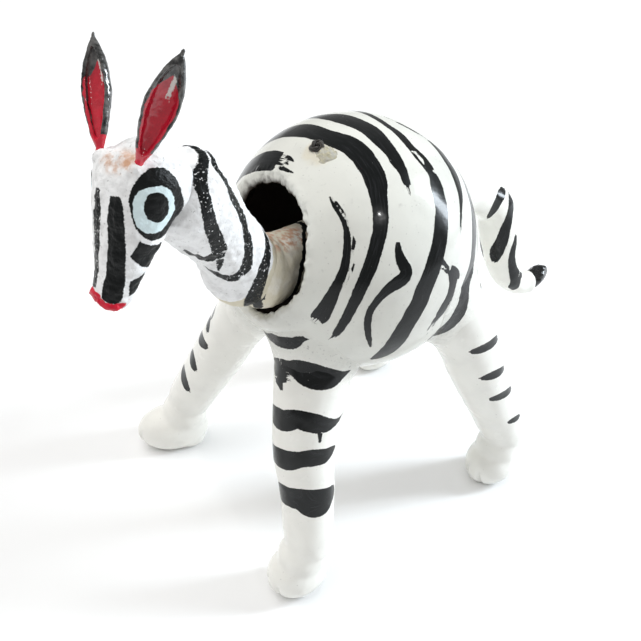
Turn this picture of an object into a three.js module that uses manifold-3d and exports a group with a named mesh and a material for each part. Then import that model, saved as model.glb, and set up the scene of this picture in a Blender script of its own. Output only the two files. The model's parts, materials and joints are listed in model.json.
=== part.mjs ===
// Gourd zebra figurine with a hanging, nodding head.
// Millimetres, +Z up. The animal faces -Y and its left side is +X.
// The hollow gourd body stands on four legs. Head and neck are one balanced piece:
// it hangs inside the gourd's round mouth from a thread knotted above a hole in the back.

import * as THREE from 'three';
import { mergeVertices } from 'three/addons/utils/BufferGeometryUtils.js';
import Module from 'manifold-3d';

const wasm = await Module();
wasm.setup();

// Gourd body
const GOURD_RADIUS = 26;
const GOURD_WALL = 2;
const BELLY_CLEARANCE = 42.3;
const MOUTH_RADIUS = 12.6;
const MOUTH_ANGLE = 69.5;

// Gap between pieces that rest on or fit in each other
const SEAT_GAP = 0.3;

// Hanging thread, its knot above the hole, and the loop below
const THREAD_HOLE_ANGLE = 21.1;
const THREAD_HOLE_RADIUS = 1.1;
const THREAD_RADIUS = 0.35;
const THREAD_LENGTH = 9.5;
const KNOT_RADIUS = 0.95;
const KNOT_STRAND = 0.4;
const LOOP_RADIUS = 1.6;
const LOOP_KNOT_RADIUS = 0.8;
const BEAD_RADIUS = 1.2;
const BEAD_OFFSET = 4;

// Legs: a hip is a direction on the gourd, an ankle stands over a place on the floor
const LEG_RADIUS = 6.1;
const ANKLE_RADIUS = 5.3;
const ANKLE_HEIGHT = 14;
const HEEL_RADIUS = 5;
const FOOT_LENGTH = 14.2;
const FOOT_WIDTH = 11.8;
const FOOT_HEIGHT = 12;
const FOOT_FORWARD = 2.5;
const SOLE_CUT = 1;
const TOE_GROOVE = 0.8;
const TOE_SPACING = 1.9;
const LEG_PEG_RADIUS = 1.5;
const LEG_PEG_LENGTH = 14;
const PEG_PROUD = 1;
const COLLAR_FLARE = 2.4;
const COLLAR_HEIGHT = 3.4;
const COLLAR_LENGTH = 12;
const FRONT_LEFT_LEG = { bearing: 30.6, drop: 35, out: 24.5, along: -25.2, toesOut: 0 };
const FRONT_RIGHT_LEG = { bearing: 30.6, drop: 35, out: 27, along: -26, toesOut: 32 };
const REAR_LEG = { bearing: 124.4, drop: 21, out: 24.4, along: 33.2, toesOut: 4 };

// Tail: its route goes sideways, back and up from the middle of the gourd's rear, in units of TAIL_UNIT
const TAIL_UNIT = 10;
const TAIL_ROOT_RADIUS = 5;
const TAIL_RADIUS = 4.6;
const TAIL_END_RADIUS = 2.7;
const TAIL_PEG_RADIUS = 1.5;
const TAIL_PEG_LENGTH = 11;
const TUFT_RADIUS = 2.8;
const TUFT_LENGTH = 6;
const TAIL_ROUTE = [
  { side: 0, back: -0.4, up: 0.15 },
  { side: 0.03, back: 0.4, up: 0.22 },
  { side: 0.1, back: 1, up: -0.06 },
  { side: 0.2, back: 1.36, up: -0.38 },
  { side: 0.35, back: 1.52, up: -0.94 },
  { side: 0.5, back: 1.58, up: -1.56 },
  { side: 0.65, back: 1.79, up: -2.16 },
  { side: 0.75, back: 2.16, up: -2.56 },
  { side: 0.8, back: 2.54, up: -2.62 },
];

// Neck: its axis in the plane of the neck, before the turn to the animal's left
const HEAD_TURN = 13;
const NECK_REACH = 17;
const NECK_RISE = 24.4;
const NECK_BEFORE_MOUTH = 3.9;
const NECK_BELOW_MOUTH = 2.9;
const NECK_HEAD_RADIUS = 7.8;
const NECK_MIDDLE_RADIUS = 6.5;
const NECK_MOUTH_RADIUS = 6.3;
const PLUG_RADIUS = 6;
const PLUG_ROUND = 2;
const PLUG_BEHIND_LOOP = 3;

// Armature wire, thread eye and counterweight
const WIRE_RADIUS = 0.8;
const WIRE_IN_HEAD = 6;
const EYE_RADIUS = 1.6;
const EYE_WIRE = 0.4;
const EYE_SHANK = 4;
const COUNTERWEIGHT_RADIUS = 7;
const COUNTERWEIGHT_ROOM = 4;
const COUNTERWEIGHT_SLOPE = 38;

// Head: a round skull and a tapering muzzle, placed ahead of and above the neck's front end
const HEAD_TILT = -10.5;
const HEAD_ASIDE = -1.1;
const SKULL_RADIUS = 6.8;
const SKULL_BREADTH = 1.08;
const SKULL_AHEAD = 4.8;
const SKULL_UP = 2.8;
const MUZZLE_RADIUS = 6.1;
const MUZZLE_TIP_RADIUS = 2.7;
const MUZZLE_BREADTH = 1.28;
const MUZZLE_LENGTH = 21.4;
const MUZZLE_SLOPE = 60;
const MUZZLE_AHEAD = 5.7;
const MUZZLE_UP = 4.8;

// Ears: cupped leaves with a root pin in the head
const EAR_LENGTH = 15.7;
const EAR_WIDTH = 5.2;
const EAR_DEPTH = 3.8;
const EAR_WALL = 0.8;
const EAR_ROOT_RADIUS = 1;
const EAR_ROOT_LENGTH = 3.5;
const EAR_SPREAD = 5.4;
const EAR_AHEAD = 8;
const EAR_UP = 9.8;
const EAR_LEAN_OUT = 21;
const EAR_LEAN_BACK = 24;
const EAR_TURN_OUT = 20;

// Fineness of round shapes
const ROUND_STEPS = 18;
const FINE_ROUND_STEPS = 32;
const CORD_SIDES = 8;
const AXIS_FINENESS = 100;
const BAR_STEPS = 40;
const MERGE_TOLERANCE = 1e-4;

// Places worked out from the dimensions above
const LEFT = 1;
const RIGHT = -1;
const UP = new THREE.Vector3(0, 1, 0);
const SEAT_RADIUS = GOURD_RADIUS + SEAT_GAP;
const BODY_CENTRE = new THREE.Vector3(0, 0, BELLY_CLEARANCE + GOURD_RADIUS);
const MOUTH_HALF_ANGLE = Math.asin(MOUTH_RADIUS / GOURD_RADIUS);
const MOUTH_DIRECTION = frontDirection(MOUTH_ANGLE);
const MOUTH_CENTRE = onGourd(MOUTH_DIRECTION, GOURD_RADIUS * Math.cos(MOUTH_HALF_ANGLE));
const THREAD_HOLE = onGourd(frontDirection(THREAD_HOLE_ANGLE), GOURD_RADIUS);
const LOOP_TOP = 2 * LOOP_RADIUS + THREAD_RADIUS + LOOP_KNOT_RADIUS;
const PIVOT = new THREE.Vector3(0, THREAD_HOLE.y, THREAD_HOLE.z - THREAD_LENGTH - LOOP_TOP);
const EYE_LIFT = THREAD_RADIUS + EYE_WIRE + SEAT_GAP;
const EYE_CENTRE = EYE_LIFT - EYE_RADIUS;
const EYE_BOTTOM = EYE_CENTRE - EYE_RADIUS - EYE_WIRE;

// Unit direction from the gourd's middle, tipped from the top towards the front.
function frontDirection(degrees) {
  const angle = THREE.MathUtils.degToRad(degrees);
  return new THREE.Vector3(0, -Math.sin(angle), Math.cos(angle));
}

// Unit direction by bearing from the front towards one side, and drop below the level.
function hipDirection(leg, side) {
  const bearing = THREE.MathUtils.degToRad(leg.bearing);
  const drop = THREE.MathUtils.degToRad(leg.drop);
  const level = Math.cos(drop);
  return new THREE.Vector3(side * level * Math.sin(bearing), -level * Math.cos(bearing), -Math.sin(drop));
}

function onGourd(direction, distance) {
  return BODY_CENTRE.clone().addScaledVector(direction, distance);
}

// Closed solid from a geometry: shared vertices merged, slivers dropped, faces turned outwards.
function solid(geometry) {
  const bare = geometry.index ? geometry.toNonIndexed() : geometry.clone();
  bare.deleteAttribute('normal');
  bare.deleteAttribute('uv');
  const shell = mergeVertices(bare, MERGE_TOLERANCE);
  const corners = shell.index.array;
  const places = shell.attributes.position;
  const triangles = [];
  const a = new THREE.Vector3();
  const b = new THREE.Vector3();
  const c = new THREE.Vector3();
  let volume = 0;
  for (let i = 0; i < corners.length; i += 3) {
    const [p, q, r] = [corners[i], corners[i + 1], corners[i + 2]];
    if (p === q || q === r || r === p) continue;
    a.fromBufferAttribute(places, p);
    b.fromBufferAttribute(places, q);
    c.fromBufferAttribute(places, r);
    volume += a.dot(b.cross(c));
    triangles.push([p, q, r]);
  }
  const outward = volume > 0 ? triangles : triangles.map(([p, q, r]) => [p, r, q]);
  return new wasm.Manifold(new wasm.Mesh({
    numProp: 3,
    vertProperties: new Float32Array(places.array),
    triVerts: new Uint32Array(outward.flat()),
  }));
}

// Named mesh from a solid.
function piece(name, body, finish) {
  const { vertProperties, triVerts } = body.getMesh();
  const geometry = new THREE.BufferGeometry();
  geometry.setAttribute('position', new THREE.BufferAttribute(new Float32Array(vertProperties), 3));
  geometry.setIndex(new THREE.BufferAttribute(new Uint32Array(triVerts), 1));
  geometry.computeVertexNormals();
  const mesh = new THREE.Mesh(geometry, new THREE.MeshStandardMaterial(finish));
  mesh.name = name;
  return mesh;
}

// Places a geometry built along +Y so that it starts at a point and runs in a direction.
function aimed(geometry, start, direction) {
  const turn = new THREE.Quaternion().setFromUnitVectors(UP, direction.clone().normalize());
  return geometry.applyMatrix4(new THREE.Matrix4().compose(start, turn, new THREE.Vector3(1, 1, 1)));
}

// Turned shape along +Y from pairs of radius and distance; it starts and ends on the axis.
function turned(profile, steps = ROUND_STEPS) {
  return new THREE.LatheGeometry(profile.map(([radius, along]) => new THREE.Vector2(radius, along)), steps);
}

// Round pin along +Y.
function pin(radius, from, to, steps = CORD_SIDES) {
  return turned([[0, from], [radius, from], [radius, to], [0, to]], steps);
}

// Bends a geometry built along +Y so that its axis follows a curve; X stays sideways.
function bent(geometry, curve) {
  const length = curve.getLength();
  const places = geometry.attributes.position;
  const place = new THREE.Vector3();
  const across = new THREE.Vector3();
  const sideways = new THREE.Vector3();
  for (let i = 0; i < places.count; i += 1) {
    place.fromBufferAttribute(places, i);
    const share = THREE.MathUtils.clamp(place.y / length, 0, 1);
    const tangent = curve.getTangentAt(share);
    sideways.set(1, 0, 0).addScaledVector(tangent, -tangent.x).normalize();
    across.crossVectors(sideways, tangent);
    const middle = curve.getPointAt(share);
    middle.addScaledVector(tangent, place.y - share * length);
    middle.addScaledVector(sideways, place.x).addScaledVector(across, place.z);
    places.setXYZ(i, middle.x, middle.y, middle.z);
  }
  return geometry;
}

// Round bar along a smooth curve through a row of places.
function barAlong(places, radius) {
  const section = new THREE.Shape().absarc(0, 0, radius, 0, 2 * Math.PI, false);
  return new THREE.ExtrudeGeometry(section, {
    steps: BAR_STEPS,
    extrudePath: new THREE.CatmullRomCurve3(places, false, 'centripetal'),
    bevelEnabled: false,
    curveSegments: CORD_SIDES / 2,
  });
}

// The same row of places with both ends moved further out.
function lengthened(places, extra) {
  const moved = places.map((place) => place.clone());
  const last = places.length - 1;
  moved[0].addScaledVector(places[0].clone().sub(places[1]).normalize(), extra);
  moved[last].addScaledVector(places[last].clone().sub(places[last - 1]).normalize(), extra);
  return moved;
}

function ball(radius, centre, steps = ROUND_STEPS) {
  const sphere = new THREE.SphereGeometry(radius, steps, steps / 2);
  return sphere.translate(centre.x, centre.y, centre.z);
}

// Profile points of an arc about the origin, from one angle to another, measured from +Y.
function arcPoints(radius, from, to, steps) {
  const points = [];
  for (let i = 0; i <= steps; i += 1) {
    const angle = from + ((to - from) * i) / steps;
    points.push([Math.max(0, radius * Math.sin(angle)), radius * Math.cos(angle)]);
  }
  return points;
}

const FINISHES = {
  paintedGourd: { color: 0xf2f0e8, roughness: 0.25, metalness: 0 },
  paintedWood: { color: 0xf6f5f0, roughness: 0.3, metalness: 0 },
  paste: { color: 0xf0eee6, roughness: 0.6, metalness: 0 },
  roughPaste: { color: 0xe9e8e6, roughness: 0.75, metalness: 0 },
  blackPaint: { color: 0x1c1b1c, roughness: 0.35, metalness: 0 },
  ear: { color: 0xb4232c, roughness: 0.25, metalness: 0 },
  bareWood: { color: 0xc9ab7c, roughness: 0.7, metalness: 0 },
  plug: { color: 0xcfcaba, roughness: 0.6, metalness: 0 },
  thread: { color: 0x2a2622, roughness: 0.9, metalness: 0 },
  glue: { color: 0xe8e4c8, roughness: 0.1, metalness: 0 },
  wire: { color: 0x8b8d90, roughness: 0.35, metalness: 1 },
  weight: { color: 0x4b4d50, roughness: 0.6, metalness: 0.8 },
};

const gourdBall = solid(ball(SEAT_RADIUS, BODY_CENTRE, FINE_ROUND_STEPS));
const collarBall = solid(ball(SEAT_RADIUS + COLLAR_HEIGHT, BODY_CENTRE, FINE_ROUND_STEPS));

// Gourd body: a hollow ball whose mouth has a rounded cut edge.
function gourdShell(pegHoles) {
  const inner = GOURD_RADIUS - GOURD_WALL;
  const edge = (GOURD_RADIUS + inner) / 2;
  const lip = GOURD_WALL / 2;
  const edgeMiddle = [edge * Math.sin(MOUTH_HALF_ANGLE), edge * Math.cos(MOUTH_HALF_ANGLE)];
  const edgeOut = [Math.sin(MOUTH_HALF_ANGLE), Math.cos(MOUTH_HALF_ANGLE)];
  const edgeUp = [-Math.cos(MOUTH_HALF_ANGLE), Math.sin(MOUTH_HALF_ANGLE)];
  const outsideEnd = MOUTH_HALF_ANGLE + lip / GOURD_RADIUS;
  const insideStart = MOUTH_HALF_ANGLE + lip / inner;
  const outside = arcPoints(GOURD_RADIUS, Math.PI, outsideEnd, FINE_ROUND_STEPS / 2);
  const inside = arcPoints(inner, insideStart, Math.PI, 3 * FINE_ROUND_STEPS / 8);
  const rounding = [0.25, 0.5, 0.75].map((share) => {
    const angle = share * Math.PI;
    const out = lip * Math.cos(angle);
    const up = lip * Math.sin(angle) - lip;
    return [
      edgeMiddle[0] + out * edgeOut[0] + up * edgeUp[0],
      edgeMiddle[1] + out * edgeOut[1] + up * edgeUp[1],
    ];
  });
  const shell = turned([...outside, ...rounding, ...inside], FINE_ROUND_STEPS);
  let body = solid(aimed(shell, BODY_CENTRE, MOUTH_DIRECTION));
  const threadHole = pin(THREAD_HOLE_RADIUS, -2 * GOURD_WALL, 2 * GOURD_WALL, CORD_SIDES + 2);
  threadHole.rotateX(Math.PI / 2).translate(THREAD_HOLE.x, THREAD_HOLE.y, THREAD_HOLE.z);
  body = body.subtract(solid(threadHole));
  for (const hole of pegHoles) body = body.subtract(hole);
  return piece('gourd_shell', body, FINISHES.paintedGourd);
}

// One leg with its foot, its peg through the gourd's wall and the paste collar round its top.
// The leg's axis starts just inside the gourd, where its peg ends.
function legParts(name, leg, side) {
  const hip = onGourd(hipDirection(leg, side), GOURD_RADIUS - GOURD_WALL - PEG_PROUD);
  const ankle = new THREE.Vector3(side * leg.out, leg.along, ANKLE_HEIGHT);
  const axis = ankle.clone().sub(hip);
  const length = axis.length();
  const onLeg = (geometry) => solid(aimed(geometry, hip, axis));

  const limbProfile = (grow) => [
    [0, -LEG_RADIUS - grow],
    [0.7 * (LEG_RADIUS + grow), -0.7 * (LEG_RADIUS + grow)],
    [LEG_RADIUS + grow, 0],
    [LEG_RADIUS + grow, 0.25 * length],
    [0.98 * LEG_RADIUS + grow, 0.5 * length],
    [0.5 * (LEG_RADIUS + ANKLE_RADIUS) + grow, 0.78 * length],
    [ANKLE_RADIUS + grow, 0.95 * length],
    [ANKLE_RADIUS, length],
    [0.7 * ANKLE_RADIUS, length + 0.7 * ANKLE_RADIUS],
    [0, length + ANKLE_RADIUS],
  ];
  const heel = turned([
    [0, -ANKLE_HEIGHT],
    [0.8 * HEEL_RADIUS, -ANKLE_HEIGHT],
    [HEEL_RADIUS, 0.2 * HEEL_RADIUS - ANKLE_HEIGHT],
    [HEEL_RADIUS, -0.5 * ANKLE_HEIGHT],
    [ANKLE_RADIUS, 0],
    [0, 0],
  ]);
  heel.rotateX(Math.PI / 2).translate(ankle.x, ankle.y, ankle.z);
  const splay = side * THREE.MathUtils.degToRad(leg.toesOut);
  const onAnkle = (geometry) => solid(geometry.rotateZ(splay).translate(ankle.x, ankle.y, 0));
  const foot = new THREE.SphereGeometry(0.5, ROUND_STEPS, ROUND_STEPS / 2);
  foot.rotateX(Math.PI / 2).scale(FOOT_WIDTH, FOOT_LENGTH, FOOT_HEIGHT);
  foot.translate(0, -FOOT_FORWARD, FOOT_HEIGHT / 2 - SOLE_CUT);
  const belowFloor = new THREE.BoxGeometry(4 * FOOT_LENGTH, 4 * FOOT_LENGTH, FOOT_LENGTH);
  belowFloor.translate(ankle.x, ankle.y, -FOOT_LENGTH / 2);

  const pegHole = onLeg(pin(LEG_PEG_RADIUS + SEAT_GAP, -GOURD_WALL, LEG_PEG_LENGTH + SEAT_GAP));
  const peg = onLeg(pin(LEG_PEG_RADIUS, 0, LEG_PEG_LENGTH));
  let body = onLeg(turned(limbProfile(0)))
    .add(solid(heel))
    .add(onAnkle(foot))
    .subtract(solid(belowFloor))
    .subtract(gourdBall)
    .subtract(pegHole);
  const toeTip = -FOOT_FORWARD - FOOT_LENGTH / 2;
  for (const offset of [-TOE_SPACING, TOE_SPACING]) {
    const groove = pin(TOE_GROOVE, 0, FOOT_HEIGHT).rotateX(Math.PI / 2);
    body = body.subtract(onAnkle(groove.translate(offset, toeTip + 0.6 * TOE_GROOVE, -SOLE_CUT)));
  }

  const flareRadius = LEG_RADIUS + COLLAR_FLARE;
  const flare = onLeg(turned([
    [0, -flareRadius],
    [0.7 * flareRadius, -0.7 * flareRadius],
    [flareRadius, 0],
    [LEG_RADIUS + 0.85 * COLLAR_FLARE, 0.4 * COLLAR_LENGTH],
    [LEG_RADIUS + 0.5 * COLLAR_FLARE, 0.75 * COLLAR_LENGTH],
    [LEG_RADIUS + 2 * SEAT_GAP, COLLAR_LENGTH],
    [0, COLLAR_LENGTH],
  ]));
  const collar = flare
    .intersect(collarBall)
    .subtract(gourdBall)
    .subtract(onLeg(turned(limbProfile(SEAT_GAP))));
  return {
    pegHole,
    meshes: [
      piece(`leg_${name}`, body, FINISHES.paintedWood),
      piece(`leg_peg_${name}`, peg, FINISHES.bareWood),
      piece(`leg_collar_${name}`, collar, FINISHES.paste),
    ],
  };
}

// Tail with its peg and black tuft.
function tailParts() {
  const rear = onGourd(new THREE.Vector3(0, 1, 0), GOURD_RADIUS);
  const places = TAIL_ROUTE.map(({ side, back, up }) => {
    return new THREE.Vector3(side, back, up).multiplyScalar(TAIL_UNIT).add(rear);
  });
  const route = new THREE.CatmullRomCurve3(places, false, 'centripetal');
  const length = route.getLength();
  const tailProfile = [
    [0, 0],
    [TAIL_ROOT_RADIUS, 0],
    [TAIL_ROOT_RADIUS, 0.15 * length],
    [TAIL_RADIUS, 0.32 * length],
    [TAIL_RADIUS, 0.4 * length],
    [TAIL_RADIUS, 0.48 * length],
    [TAIL_RADIUS, 0.56 * length],
    [TAIL_RADIUS, 0.64 * length],
    [0.93 * TAIL_RADIUS, 0.72 * length],
    [0.82 * TAIL_RADIUS, 0.8 * length],
    [0.3 * TAIL_RADIUS + 0.7 * TAIL_END_RADIUS, 0.88 * length],
    [TAIL_END_RADIUS, 0.94 * length],
    [TAIL_END_RADIUS, length],
    [0, length],
  ];
  const pegStart = -(GOURD_WALL + PEG_PROUD);
  const pegEnd = pegStart + TAIL_PEG_LENGTH;
  const pegAxis = places[1].clone().sub(places[0]).normalize();
  const rootOut = places[0].clone().sub(BODY_CENTRE).length();
  const pegFoot = places[0].clone().addScaledVector(pegAxis, GOURD_RADIUS - rootOut);
  const pegHole = solid(aimed(
    pin(TAIL_PEG_RADIUS + SEAT_GAP, pegStart - GOURD_WALL, pegEnd + SEAT_GAP, ROUND_STEPS / 2),
    pegFoot,
    pegAxis,
  ));
  const peg = solid(aimed(pin(TAIL_PEG_RADIUS, pegStart, pegEnd, ROUND_STEPS / 2), pegFoot, pegAxis));
  const tail = solid(bent(turned(tailProfile, 24), route)).subtract(gourdBall).subtract(pegHole);
  const endPlace = route.getPointAt(1);
  const endAxis = route.getTangentAt(1);
  const tuftAxis = endAxis.clone().lerp(new THREE.Vector3(0, 0, 1), 0.5).normalize();
  const tuftProfile = [
    [0, 0],
    [0.8 * TUFT_RADIUS, 0],
    [TUFT_RADIUS, 0.25 * TUFT_LENGTH],
    [0.85 * TUFT_RADIUS, 0.5 * TUFT_LENGTH],
    [0.35 * TUFT_RADIUS, 0.8 * TUFT_LENGTH],
    [0, TUFT_LENGTH],
  ];
  const tuftStart = endPlace.clone().addScaledVector(endAxis, SEAT_GAP);
  const behindEnd = pin(2 * TAIL_RADIUS, -TUFT_LENGTH, 0);
  const tuft = solid(aimed(turned(tuftProfile, 16), tuftStart, tuftAxis))
    .subtract(solid(aimed(behindEnd, tuftStart, endAxis)));
  return {
    pegHole,
    meshes: [
      piece('tail', tail, FINISHES.paintedWood),
      piece('tail_peg', peg, FINISHES.bareWood),
      piece('tail_tuft', tuft, FINISHES.blackPaint),
    ],
  };
}

// Knot that can't pass the thread hole, with the glue bead beside it.
function knotParts() {
  const holeDirection = frontDirection(THREAD_HOLE_ANGLE);
  const knot = new THREE.TorusKnotGeometry(KNOT_RADIUS, KNOT_STRAND, 40, 5, 2, 3);
  const knotSeat = onGourd(holeDirection, SEAT_RADIUS + 1.05 * KNOT_STRAND);
  knot.rotateX(THREE.MathUtils.degToRad(THREAD_HOLE_ANGLE)).translate(knotSeat.x, knotSeat.y, knotSeat.z);
  const sideAngle = BEAD_OFFSET / GOURD_RADIUS;
  const beadDirection = holeDirection.clone().applyAxisAngle(MOUTH_DIRECTION, -sideAngle);
  const bead = ball(BEAD_RADIUS, onGourd(beadDirection, SEAT_RADIUS), 16);
  return [
    piece('thread_knot', solid(knot).subtract(gourdBall), FINISHES.thread),
    piece('glue_bead', solid(bead).subtract(gourdBall), FINISHES.glue),
  ];
}

// Axis of neck and plug, from the head's back to the plug's rear end, about the pivot.
function neckAxis() {
  const mouthAhead = -new THREE.Vector2(MOUTH_CENTRE.x - PIVOT.x, MOUTH_CENTRE.y - PIVOT.y).length();
  const atMouth = new THREE.Vector3(
    0,
    mouthAhead - NECK_BEFORE_MOUTH,
    MOUTH_CENTRE.z - PIVOT.z - NECK_BELOW_MOUTH,
  );
  const fromMouth = (reach, rise) => {
    return atMouth.clone().add(new THREE.Vector3(0, -reach * NECK_REACH, rise * NECK_RISE));
  };
  const plugLine = EYE_BOTTOM - SEAT_GAP - PLUG_RADIUS;
  const places = [
    fromMouth(1, 1),
    fromMouth(0.7, 0.67),
    fromMouth(0.47, 0.42),
    fromMouth(0.23, 0.17),
    atMouth,
    new THREE.Vector3(0, 0.45 * atMouth.y, 0.25 * atMouth.z + 0.75 * plugLine),
    new THREE.Vector3(0, 0, plugLine),
    new THREE.Vector3(0, PLUG_BEHIND_LOOP, plugLine - 0.1 * PLUG_BEHIND_LOOP),
  ];
  return { places, mouthPlace: places.indexOf(atMouth) };
}

// Middle of the counterweight about the pivot: low behind the gourd's middle, clear of its wall.
function counterweightPlace() {
  const turn = THREE.MathUtils.degToRad(HEAD_TURN);
  const slope = THREE.MathUtils.degToRad(COUNTERWEIGHT_SLOPE);
  const reach = GOURD_RADIUS - GOURD_WALL - COUNTERWEIGHT_ROOM - COUNTERWEIGHT_RADIUS;
  const middle = BODY_CENTRE.clone().sub(PIVOT);
  return new THREE.Vector3(
    0,
    middle.y * Math.cos(turn) + reach * Math.cos(slope),
    middle.z - reach * Math.sin(slope),
  );
}

// Head solid about the neck's front end, larger all round by grow.
function headSolid(grow) {
  const skull = ball(SKULL_RADIUS + grow, new THREE.Vector3(0, -SKULL_AHEAD, SKULL_UP));
  skull.scale(SKULL_BREADTH, 1, 1);
  const slope = THREE.MathUtils.degToRad(MUZZLE_SLOPE);
  const towardsTip = new THREE.Vector3(0, -Math.cos(slope), -Math.sin(slope));
  const start = new THREE.Vector3(0, -MUZZLE_AHEAD, MUZZLE_UP);
  const taper = (share) => THREE.MathUtils.lerp(MUZZLE_RADIUS, MUZZLE_TIP_RADIUS, share) + grow;
  const muzzle = turned([
    [0, -0.5 * MUZZLE_RADIUS],
    [0.8 * taper(0), -0.35 * MUZZLE_RADIUS],
    [taper(0), 0],
    [taper(0.06), 0.2 * MUZZLE_LENGTH],
    [taper(0.3), 0.4 * MUZZLE_LENGTH],
    [taper(0.57), 0.58 * MUZZLE_LENGTH],
    [taper(0.8), 0.74 * MUZZLE_LENGTH],
    [taper(0.96), 0.89 * MUZZLE_LENGTH],
    [0.7 * taper(1), 0.97 * MUZZLE_LENGTH + grow],
    [0, MUZZLE_LENGTH + grow],
  ]);
  aimed(muzzle, start, towardsTip).scale(MUZZLE_BREADTH, 1, 1);
  return solid(skull).add(solid(muzzle));
}

// Cupped ear along +Y, open towards +Z, with its root pin below the origin.
function earSolids() {
  const leaf = (halfWidth, halfDepth, middle) => {
    const shape = turned([
      [0, 0],
      [0.35, 0.03 * EAR_LENGTH],
      [0.75, 0.2 * EAR_LENGTH],
      [1, 0.45 * EAR_LENGTH],
      [0.85, 0.68 * EAR_LENGTH],
      [0.45, 0.88 * EAR_LENGTH],
      [0, EAR_LENGTH],
    ]);
    return shape.scale(halfWidth, 1, halfDepth).translate(0, 0, middle);
  };
  const halfWidth = EAR_WIDTH / 2;
  const halfDepth = EAR_DEPTH / 2;
  const hollow = leaf(halfWidth - EAR_WALL, halfDepth, EAR_WALL);
  hollow.scale(1, 0.92, 1).translate(0, 0.04 * EAR_LENGTH, 0);
  const rootTop = 0.12 * EAR_LENGTH;
  const root = pin(EAR_ROOT_RADIUS, -EAR_ROOT_LENGTH, rootTop);
  const socket = pin(EAR_ROOT_RADIUS + SEAT_GAP, -EAR_ROOT_LENGTH - SEAT_GAP, rootTop);
  return {
    leaf: solid(leaf(halfWidth, halfDepth, 0)).subtract(solid(hollow)),
    root: solid(root),
    socket: solid(socket),
  };
}

// Stands an ear on the head: leaning back and out, its cup turned outwards.
function earMatrix(side) {
  const facing = new THREE.Matrix4().makeRotationY(side * THREE.MathUtils.degToRad(EAR_TURN_OUT));
  const back = new THREE.Matrix4().makeRotationX(THREE.MathUtils.degToRad(90 - EAR_LEAN_BACK));
  const out = new THREE.Matrix4().makeRotationY(side * THREE.MathUtils.degToRad(EAR_LEAN_OUT));
  const place = new THREE.Matrix4().makeTranslation(side * EAR_SPREAD, -EAR_AHEAD, EAR_UP);
  return place.multiply(out).multiply(back).multiply(facing);
}

const asRows = (matrix) => matrix.elements.slice();

// Head and ears about the neck's front end.
function headGroup(wireBore) {
  const group = new THREE.Group();
  group.rotation.y = THREE.MathUtils.degToRad(HEAD_TILT);
  const skull = headSolid(0);
  const around = headSolid(SEAT_GAP);
  let head = skull.subtract(wireBore.transform(asRows(new THREE.Matrix4().makeRotationY(-group.rotation.y))));
  const ear = earSolids();
  for (const [name, side] of [['ear_left', LEFT], ['ear_right', RIGHT]]) {
    const matrix = earMatrix(side);
    const back = matrix.clone().invert();
    const trimmed = ear.leaf.subtract(around.transform(asRows(back))).add(ear.root);
    head = head.subtract(ear.socket.transform(asRows(matrix)));
    const mesh = piece(name, trimmed, FINISHES.ear);
    mesh.applyMatrix4(matrix);
    group.add(mesh);
  }
  group.add(piece('head', head, FINISHES.roughPaste));
  return { group, around };
}

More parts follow.
